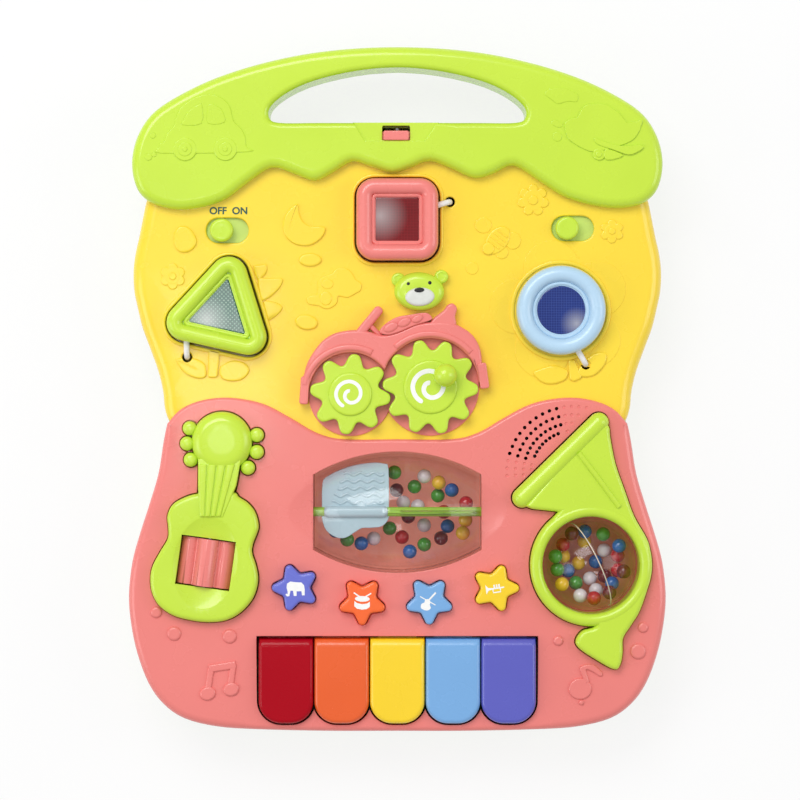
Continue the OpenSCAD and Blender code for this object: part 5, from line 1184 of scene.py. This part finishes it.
piece_from("bicycle_trim", trim, "pink_plastic")
tube("saddle_strut", [(-14.4, 33.4, 45.6), (-8.4, 27.4, 45.6)], 1.3,
     "pink_plastic", "panel", "pink_plastic")

# %% Bear's head
BEAR_AT = (11.4, 50.8)
bear = bmesh.new()
raised(bear, ellipse(BEAR_AT, 13, 10, 64, -3), 41.6, 50, roll(4.6, 10, 20, 90), [(0.8, 0.12), (1.2, 0.1)])
for x, y in ((0.5, 57), (22.9, 58.5)):
    raised(bear, circle((x, y), 3.6, 32), 41.6, 46.1, roll(1.2, 5), [(0.5, -0.3), (0.4, -0.2)])
piece_from("bear_form", bear, "lime_plastic", "panel", "lime_plastic", ("bear_head",))
face_parts = bmesh.new()
raised(face_parts, ellipse((11.7, 48), 7.7, 4.9, 48, 3), 48.5, 51, roll(1.6, 6), [(0.6, 0.08)])
piece_from("bear_muzzle", face_parts, "muzzle_grey", "panel", "white_cord")
face_parts = bmesh.new()
raised(face_parts, ellipse((11.4, 51.4), 2.6, 1.3, 24, 3), 49.5, 51.5, roll(0.5, 4))
for x, y in ((5.8, 54.6), (16.8, 55.1)):
    raised(face_parts, circle((x, y), 1.1, 20), 48, 49.95, roll(0.5, 4))
piece_from("bear_eyes", face_parts, "black_plastic")

# %% [markdown]
# ## Guitar
#
# The guitar is a separate lime moulding set into the pink front. Its body has a broad roll, its head is a
# low dome with six pegs round it, and four strings run down the neck. The window for the roller is a
# Boolean cut, and the dish round the roller is a second, shallow one.

# %% Guitar
def guitar_roll(x, y, z):
    """Only the outer edge is rolled."""
    return 2.6 if z > 46 and near((x, y), guitar_line, 0.1) else 0


guitar = housing("guitar", guitar_line, 40.5, 50.5, [
    dish_cutter(ROLLER_AT, 17, 24.5, 3.2, 50.5, ROLLER_TURN),
    cut_by(turned(box(-14.2, -12.9, 14.2, 12.9), ROLLER_TURN, ROLLER_AT), 30, 60)],
    guitar_roll, "lime_plastic", 7)
placed(guitar, "panel", "lime_plastic", "guitar_body")
bm = bmesh.new()
raised(bm, neck, 40.5, 51, roll(0.8, 3))
raised(bm, circle(GUITAR_HEAD, GUITAR_HEAD_R, 96), 40.5, 52.4, roll(6.2, 14, 12, 90),
       [(1.5, 0.1), (2, 0.06)])
for p in GUITAR_PEGS:
    raised(bm, circle(p, PEG_R, 40), 40.5, 49.6, roll(3, 9, 15, 90))
for k in range(4):
    top_x, end_x = -103 + 4.85 * k, -102.2 + 2.8 * k
    string = [(top_x, -39), (end_x, -66), (end_x + 2.3, -66), (top_x + 4.3, -39)]
    raised(bm, string, 50.4, 51.9, roll(0.9, 4))
piece_from("guitar_head", bm, "lime_plastic")

# %% [markdown]
# ## Horn
#
# The horn's bell ends in a fat rim, its tail in a flared mouthpiece, and its coil is a ring round a clear
# ball of beads. Bell and tail are cut and bevelled like the housing. The ring and the rim are lathed with
# the spin operator, because their sections are the same all the way round.

# %% Horn
for name, line, nodes in (("horn_bell", bell_line, ("horn_body",)), ("horn_tail", tail_line, ())):
    shell = housing(name, line, 40.5, 50.6, [cut_by(circle(BALL_AT, 27, 96), 30, 60)],
                    lambda x, y, z: 2.4 if z > 50 and math.dist((x, y), BALL_AT) > 30 else 0,
                    "lime_plastic", 6)
    placed(shell, "panel", "lime_plastic", *nodes)


def lathed(profile, centre, turn=None, steps=96, closed=True):
    """Spin a profile of (radius, height) round the Z axis, turn it and move it to its centre."""
    bm = bmesh.new()
    verts = [bm.verts.new((r * MM, 0, h * MM)) for r, h in profile]
    edges = [bm.edges.new(pair) for pair in zip(verts, verts[1:] + (verts[:1] if closed else []))]
    bmesh.ops.spin(bm, geom=verts + edges, cent=(0, 0, 0), axis=(0, 0, 1), angle=2 * math.pi, steps=steps,
                   use_merge=True)
    bmesh.ops.remove_doubles(bm, verts=bm.verts, dist=MERGE)
    if turn is not None:
        bmesh.ops.rotate(bm, cent=(0, 0, 0), matrix=turn, verts=bm.verts)
    moved(bm, bm.verts, *centre)
    return bm


RIM_BAR_R = 5.2
ring = [(25.2, 31.5), (26.2, 31.5), (27, 40.5), (31.7, 40.5)] + arc((28.45, 47.75), 3.25, 0, 180, 14)
piece_from("horn_ring", lathed(ring, (*BALL_AT, 0)), "lime_plastic")
along = Vector((HORN_RIM[1][0] - HORN_RIM[0][0], HORN_RIM[1][1] - HORN_RIM[0][1], 0))
bar = [(0, -RIM_BAR_R)] + arc((0, 0), RIM_BAR_R, -90, 0, 8)[1:] + arc((0, rim_length), RIM_BAR_R, 0, 90, 8)
turn = Vector((0, 0, 1)).rotation_difference(along.normalized()).to_matrix()
bm = lathed(bar, (*HORN_RIM[0], 47), turn, 40, False)
piece_from("horn_rim", bm, "lime_plastic")
tube("bell_ridge", [(94, -33, 50.3), (103, -44.5, 50.6), (115, -61, 50.3)], 1.5,
     "lime_plastic", "panel", "lime_plastic")

# %% [markdown]
# ## Loose beads and clear walls
#
# The drum and the ball are clear mouldings with loose beads inside. A bead is a fine icosphere with a
# slight seam from its mould. Beads of one colour are one mesh, so the object list stays short. A seeded
# random choice spreads them over the bottom of the drum and of the ball, and each is checked against the
# others so that none overlap.

# %% Beads
BEAD_R, CLEAR_T = 3.75, 1.4
BEAD_FINISH = {
    "blue": (28, 98, 178), "green": (78, 160, 58), "yellow": (250, 200, 48), "white": (236, 226, 236),
    "red": (196, 24, 36), "dark": (112, 8, 30)}
for name, rgb in BEAD_FINISH.items():
    finishes["bead_" + name] = moulded_plastic("bead_" + name, rgb, 0.18, 0.4, 0.03)


def bead_mesh(places):
    bm = bmesh.new()
    for x, y, z in places:
        ball = bmesh.ops.create_icosphere(bm, subdivisions=3, radius=BEAD_R * MM)["verts"]
        seam = [v for v in ball if abs(v.co.z) < 0.35 * MM]
        bmesh.ops.scale(bm, vec=(1.012, 1.012, 1), verts=seam)
        spin = Matrix.Rotation(x * 3.1 + y, 3, "X") @ Matrix.Rotation(y * 1.7, 3, "Y")
        bmesh.ops.rotate(bm, matrix=spin, verts=ball)
        moved(bm, ball, x, y, z)
    return bm


def scatter(count, seed, spot):
    """Seeded dart throwing: keep a place only if it is clear of the ones before it."""
    chance, places, tries = random.Random(seed), [], 0
    while len(places) < count and tries < 20000:
        tries += 1
        p = spot(chance)
        if p and all(math.dist(p, q) > 2 * BEAD_R + 0.05 for q in places):
            places.append(p)
    return places


def in_drum(chance):
    x = chance.uniform(-36, 38) if chance.random() < 0.35 else chance.uniform(2, 38)
    a = math.radians(chance.uniform(-62, 62))
    r = arc_height(min(abs(x) + BEAD_R, 41), DRUM_HALF) - CLEAR_T - BEAD_R - 0.5
    return (DRUM_AT[0] + x, DRUM_AT[1] + r * math.sin(a), DRUM_Z - r * math.cos(a))


def in_ball(chance):
    s, a = math.radians(chance.uniform(0, 84)), chance.uniform(0, 2 * math.pi)
    r = BALL_R - CLEAR_T - BEAD_R - 0.3
    return (*around(BALL_AT, r * math.sin(s), a), BALL_Z - r * math.cos(s))


for where, body, node, places in (("drum", "drum", "drum_beads", scatter(34, 5, in_drum)),
                                  ("ball", "bead_ball", "ball_beads", scatter(27, 11, in_ball))):
    names = list(BEAD_FINISH)
    for k, name in enumerate(names):
        beads = bead_mesh(places[k::len(names)])
        piece_from(f"{where}_beads_{name}", beads, "bead_" + name, body, "bead_mix", (node,), 60, False)
    print(where, "holds", len(places), "beads")

# %% [markdown]
# ## Bead drum
#
# The drum bulges in its middle like a barrel. Its wall is a lathed profile of an outer and an inner line,
# so it has real thickness and the edges catch light. Inside, a pale blue paddle with wavy ribs fills the
# left half, and the green vane of the axle stands on edge in the right half. Under it lie a pink tray and
# a dark red wall, on which the view through the clear plastic ends. The tray is paler than the pink front
# and glows a little: painted light, for light that scatters through the clear walls. The wall and thin
# strips along the window's edges are dark red: painted shade, for the deep shadow in the gap round the
# drum, though they are pink plastic. The ball has a tray of its own, with a weaker painted glow.

# %% Drum wall and paddle
# The trays' paler colours and their weak glow are painted light, for light that scatters through the clear
# walls.
for name, rgb, painted_glow in (("tray_pink", (255, 158, 136), 0.3), ("ball_tray", (226, 140, 104), 0.07),
                        ("gap_shade_red", (128, 10, 14), 0), ("paddle_blue", (182, 208, 218), 0),
                        ("seam", (226, 214, 192), 0)):
    finishes[name] = moulded_plastic(name, rgb, painted_glow=painted_glow)



def barrel(half, shrink, count=24):
    xs = [-(half[0] - shrink) + 2 * (half[0] - shrink) * i / count for i in range(count + 1)]
    return [(arc_height(x, half) - shrink, x) for x in xs]


outer = barrel(DRUM_HALF, 0)
inner = barrel(DRUM_HALF, CLEAR_T)
BORE_R, END_X = 2.55, DRUM_HALF[0]
wall = [(BORE_R, -END_X), (outer[0][0] - 0.8, -END_X)] + outer[1:-1] + [(outer[-1][0] - 0.8, END_X)]
wall += [(BORE_R, END_X), (BORE_R, END_X - CLEAR_T)] + inner[::-1] + [(BORE_R, CLEAR_T - END_X)]
bm = lathed(wall, (*DRUM_AT, DRUM_Z), Matrix.Rotation(math.radians(90), 3, "Y"))
piece_from("drum_wall", bm, "clear_plastic", "drum", "clear_plastic", ("drum_shell",), 40, False)

PADDLE = [(-39.4, 2), (-39.2, 14.6), (-36.5, 18.6), (-26, 23.4), (-14.5, 25.6), (-7, 25.2), (-4.6, 22.5),
          (-4.4, 2), (-4.6, -3.6), (-8, -7.6), (-14, -8.4), (-18.5, -8.6), (-22, -10.6), (-27, -13.6),
          (-32, -13.4), (-37, -10), (-39.2, -4.5)]
bm = bmesh.new()
paddle = smooth_loop([(x + DRUM_AT[0], y + DRUM_AT[1]) for x, y in PADDLE], 3)
raised(bm, paddle, DRUM_Z - 0.9, DRUM_Z + 0.9, roll(0.4, 2))
raised(bm, rounded_box(34, 6, 2.6, 5, (-21.6, -64)), DRUM_Z, DRUM_Z + 3.8, roll(2.6, 6))
piece_from("paddle_form", bm, "paddle_blue", "drum", "pale_blue_plastic", ("drum_paddle",))
for k in range(5):
    y = DRUM_AT[1] + 5 + k * 3.7
    wavy = [(x, y + 0.8 * math.sin(x * 0.9), DRUM_Z + 0.9) for x in range(-34 + 3 * k // 2, -6)]
    tube(f"paddle_rib_{k + 1}", wavy, 0.7, "paddle_blue", "drum", "pale_blue_plastic")

# The tray wall is pink plastic, painted dark red as painted shade of the deep room under the drum.
tray_wall = housing("drum_tray_wall", lens((44.9, 32.6, 20.6)), 4, 31,
                    [cut_by(lens((43.9, 31.6, 19.6)), 0, 60)], lambda x, y, z: 0, "gap_shade_red")
placed(tray_wall, "panel", "pink_plastic")
bm = bmesh.new()
raised(bm, lens((44.4, 32.1, 20.1)), 3, 4, [(1, 0)])
piece_from("drum_tray", bm, "tray_pink", "panel", "pink_plastic")
# Thin dark red strips in the gap along the window's upper and lower edges: painted shade, for the deep
# shadow there.
bm = bmesh.new()
for side in (1, -1):
    wall_line = [(x, DRUM_AT[1] + side * (arc_height(x, WINDOW_HALF) + 0.7)) for x in range(-42, 43, 3)]
    raised(bm, stroke(wall_line, 0.8), 4, 41)
piece_from("drum_gap_shade", bm, "gap_shade_red", "panel", "pink_plastic")
tray = [(0, 8), (26.4, 8), (26.4, 31), (25.5, 31), (25.5, 9), (0, 9)]
bm = lathed(tray, (*BALL_AT, 0), closed=False)
piece_from("ball_tray", bm, "ball_tray", "panel", "pink_plastic")
seam_end, seam_top = Vector((-0.42, 0.91, 0)) * 23.4, Vector((0.91, 0.42, 0)) * 4 + Vector((0, 0, 23.3))
seam_line = []
for k in range(25):
    p = seam_end * math.cos(math.pi * k / 24) + seam_top * math.sin(math.pi * k / 24)
    seam_line.append(tuple(Vector((*BALL_AT, BALL_Z)) + p.normalized() * 23.6))
tube("ball_seam", seam_line, 0.28, "seam", "bead_ball", "clear_plastic")

# %% [markdown]
# ## Star buttons
#
# A star button is a soft pillow: its outline is raised and then inset many times while it rises less and
# less. On each a small white picture is printed: an elephant, a drum, a violin and a trumpet. They are
# drawn here as plain thin shapes of a generic kind.

# %% Stars and their printed pictures
STAR_SLOTS = ("indigo_plastic", "orange_plastic", "light_blue_plastic", "key_yellow_plastic")
STAR_LOOKS = ("star_blue", "star_orange", "light_blue_plastic", "key_yellow_plastic")
finishes["star_blue"] = moulded_plastic("star_blue", (104, 112, 208))
finishes["star_orange"] = moulded_plastic("star_orange", (250, 106, 44))
STAR_TOP = 49.5


def printed(name, shapes, at, z, body, turn):
    """Thin white shapes; each is 0.01 mm higher than the one before, so that none share a face."""
    bm = bmesh.new()
    for k, shape in enumerate(shapes):
        extruded(bm, face_of(bm, turned(shape, turn, at, 0.98), z), 0.06 + 0.01 * k)
    return piece_from(name, bm, "printed_white", body, "white_cord", (), 30, False)


ELEPHANT = [
    [(-4.6, 0.6), (-4.2, 2.6), (-2.4, 3.6), (-0.4, 3.2), (1.2, 2.9), (3.4, 2.7), (4.7, 1.2), (4.9, -1),
     (4.7, -4.2), (3.3, -4.2), (3.1, -1.9), (0.6, -1.8), (0.4, -4.2), (-1.1, -4.2), (-1.3, -1.4),
     (-2.6, -1.2), (-3.1, -2.8), (-3.4, -4), (-4.6, -4.2), (-5.4, -3.2), (-5, -2.6), (-4.3, -3),
     (-4.2, -1.8)]]
DRUM_PICTURE = [
    ellipse((0, 1.5), 3.9, 1.5, 28),
    [(-4.1, 0.2), (-2.6, -0.9), (0, -1.3), (2.6, -0.9), (4.1, 0.2), (4.1, -2.6), (2.6, -3.8), (0, -4.2),
     (-2.6, -3.8), (-4.1, -2.6)],
    stroke([(-4.6, 4.6), (-1.2, 2.4)], 0.7), stroke([(4.6, 4.6), (1.2, 2.4)], 0.7)]
VIOLIN = [
    smooth_loop([(-2.9, -4.6), (-4.6, -3.4), (-4.2, -1.4), (-2.6, -0.6), (-2.2, 0.8), (-0.4, 1),
                 (0.6, -0.4), (0.2, -2), (0.6, -3.8), (-1, -4.9)], 3),
    stroke([(-0.6, 0.2), (3.6, 4.4)], 0.9), stroke([(-4.8, 2.6), (3.2, -2.2)], 0.5)]
TRUMPET = [
    [(-5.2, 2.5), (-3.9, 0.7), (-1.6, 0.4), (4.6, 0.4), (4.6, -0.3), (-1.6, -0.4), (-3.9, -0.7),
     (-5.2, -2.5)],
    stroke([(-1.5, -0.4), (-1.5, -2.1), (2.4, -2.1), (2.4, -0.3)], 0.65)]
TRUMPET += [stroke([(x, 0.3), (x, 2)], 0.8) for x in (-0.6, 0.7, 2)]
PICTURES = ((ELEPHANT, 4), (DRUM_PICTURE, -2), (VIOLIN, 2), (TRUMPET, 8))

for k, ((x, y, turn), (picture, picture_turn)) in enumerate(zip(STARS, PICTURES)):
    body = f"star_{k + 1}"
    bm = bmesh.new()
    raised(bm, circle((x, y), 9.8, 40), 40.1, 42.2)
    raised(bm, circle((x, y), 3, 24), 29.4, 41)
    raised(bm, star(0, (x, y), turn), 40.1, STAR_TOP, roll(1.3, 6), [(0.5, 0.06)])
    piece_from(f"star_form_{k + 1}", bm, STAR_LOOKS[k], body, STAR_SLOTS[k], (body,))
    printed(f"star_picture_{k + 1}", picture, (x, y), STAR_TOP + 0.02, body, picture_turn)

# %% [markdown]
# ## Piano keys
#
# Five keys hang on one rod. A key is raised from its outline with a soft edge all round and a flat bevel
# at the hinge end, and it is hollow below, so its underside is inset and pushed up. The barrel and the
# stalk that presses the contact stay on the key.

# %% Keys
KEY_SLOTS = ("red_plastic", "orange_plastic", "key_yellow_plastic", "light_blue_plastic", "indigo_plastic")
SLOPE_Y, SLOPE = KEY_TOP - 4.4, 0.52


def key_barrel(bm, x, half_width, radius):
    """A short round bar along X at the hinge, made from a disc that is extruded and turned."""
    disc = bmesh.ops.create_circle(bm, cap_ends=True, segments=32, radius=radius * MM)["verts"]
    faces = list({face for v in disc for face in v.link_faces})
    far = bmesh.ops.extrude_face_region(bm, geom=faces)["geom"]
    far = [g for g in far if isinstance(g, bmesh.types.BMVert)]
    moved(bm, far, 0, 0, 2 * half_width)
    bmesh.ops.rotate(bm, matrix=Matrix.Rotation(math.radians(90), 3, "Y"), verts=disc + far)
    moved(bm, disc + far, x - half_width, *HINGE)


for k, (x, slot) in enumerate(zip(KEY_X, KEY_SLOTS)):
    bm = bmesh.new()
    raised(bm, key_outline(k), 34, 49, roll(2.3, 8))
    bmesh.ops.bisect_plane(bm, geom=bm.verts[:] + bm.edges[:] + bm.faces[:],
                           plane_co=(0, SLOPE_Y * MM, 0), plane_no=(0, 1, 0))
    for v in bm.verts:
        over = v.co.y / MM - SLOPE_Y
        if over > 0 and v.co.z > 47 * MM:
            v.co.z -= over * SLOPE * MM
    low = min(bm.faces, key=lambda f: f.calc_center_median().z)
    narrowed(bm, low, 2, 0)
    narrowed(bm, low, 0.01, -11.4)
    key_barrel(bm, x, 10, 3)
    raised(bm, box(x - 10, KEY_TOP - 2, x + 10, KEY_TOP + 1), 34.4, 39.6)
    raised(bm, circle((x, -152), 3.5, 24), 30.4, 46)
    piece_from(f"key_form_{k + 1}", bm, slot, f"key_{k + 1}", slot, (f"key_{k + 1}",))
print("keys at", KEY_X)

# %% [markdown]
# ## Switches and the release button
#
# A round knob slides in each long slot, on a plate that closes the slot from below. The pink release
# button sits in its slot at the handle. Beside the left switch stand the words OFF and ON, made from
# Blender's own text object and turned into a thin mesh.

# %% Switch knobs, release button, words
for word, ((_, y), x) in zip(("left", "right"), SWITCHES):
    body = "switch_" + word
    plate = bmesh.new()
    raised(plate, rounded_box(31.4, 16, 6, 6, (x - 0.5, y)), 37.8, 39.8, roll(0.2, 2))
    piece_from("slider_" + word, plate, "slider_lime", body, "lime_plastic")
    bm = bmesh.new()
    raised(bm, circle((x, y), 6, 48), 39, 47, roll(1.5, 6), [(1.4, 0.06), (1, -0.25)])
    raised(bm, circle((x, y), 1.2, 20), 35, 39)
    piece_from("knob_" + word, bm, "lime_plastic", body, "lime_plastic", ("switch_knob_" + word,))

bm = bmesh.new()
raised(bm, rounded_box(13.2, 5, 0.8, 4, (-0.6, 131.6)), 47.6, 50.8, roll(0.8, 5))
raised(bm, rounded_box(17, 6.5, 0.6, 3, (-0.6, 130.4)), 45.8, 47.7)
raised(bm, box(-4, 128.6, 4, 131.6), 5, 46.5)
raised(bm, box(-4, 124.4, 4, 129.6), 5, 8, roll(0.4, 2))
piece_from("release_form", bm, "pink_plastic", "release_button", "pink_plastic", ("release_button",))


def word_piece(word, at):
    curve = bpy.data.curves.new("word", "FONT")
    curve.body, curve.size, curve.extrude = word, 3.6 * 1.42 * MM, 0.05 * MM
    curve.align_x, curve.align_y, curve.offset = "CENTER", "CENTER", 0.14 * MM
    source = linked("text", curve)
    mesh = evaluated(source)
    bpy.data.objects.remove(source)
    mesh.transform(Matrix.Translation((at[0] * MM, at[1] * MM, (YELLOW_TOP + 0.05) * MM)))
    obj = wear(linked("word_" + word.lower(), mesh), "printed_teal")
    return placed(obj, "panel", "black_plastic")


word_piece("OFF", (-93.4, 92.8))
word_piece("ON", (-82, 92.8))

# %% [markdown]
# ## Floor and light
#
# The toy lies on white paper. The floor shows plain white to the camera and to reflections, but keeps a
# part of the real shading, so that the contact shadow stays. One large soft lamp above and slightly
# behind gives the long highlights on the rolled edges, a small one puts a sheen on the left, and two
# weaker ones fill the sides.

# %% Floor, lamps and world
def floor_finish():
    f = Finish("paper")
    paper = f.node("TexNoise", values={"Vector": f.object_place(), "Scale": 40.0, "Detail": 4.0})
    lit = f.node("BsdfDiffuse", values={"Color": f.mixed(paper, (0.86, 0.86, 0.86, 1), (0.9, 0.9, 0.9, 1))})
    white = f.node("Emission", values={"Color": (1, 1, 1, 1), "Strength": 1.0})
    path = f.node("LightPath")
    outputs = path.socket.node.outputs
    glossy, through = (Value(f.tree, outputs[key]) for key in ("Is Glossy Ray", "Is Transmission Ray"))
    seen = (path + glossy + through).clamped()
    return f.surface(f.node("MixShader", values={0: seen * 0.82, 1: lit, 2: white}))


bm = bmesh.new()
bmesh.ops.create_grid(bm, x_segments=2, y_segments=2, size=3)
moved(bm, bm.verts, 0, 0, -0.2)
floor = piece_from("floor", bm, floor_finish(), None, keep=True)


def lamp(name, place, size, power, aim=(0, 0, 0.04)):
    light = bpy.data.lights.new(name, "AREA")
    light.shape, light.size, light.size_y, light.energy = "RECTANGLE", size[0], size[1], power
    obj = linked(name, light)
    obj.location = place
    obj.rotation_euler = (Vector(aim) - Vector(place)).to_track_quat("-Z", "Y").to_euler()


lamp("soft_top", (-0.5, 0.9, 1.5), (1.2, 0.8), 17)
lamp("sheen_left", (-0.155, 0.02, 1.1), (0.1, 0.15), 0.3, (-0.155, 0.02, 0))
lamp("side_left", (-1.5, -0.3, 0.9), (0.8, 1.0), 6)
lamp("side_right", (1.4, 0.1, 1.0), (0.8, 1.0), 6)
world = bpy.data.worlds.new("studio")
world.use_nodes = True
world.node_tree.nodes["Background"].inputs[0].default_value = (1, 1, 1, 1)
world.node_tree.nodes["Background"].inputs[1].default_value = 0.48
scene.world = world
scene.view_settings.view_transform = "Standard"
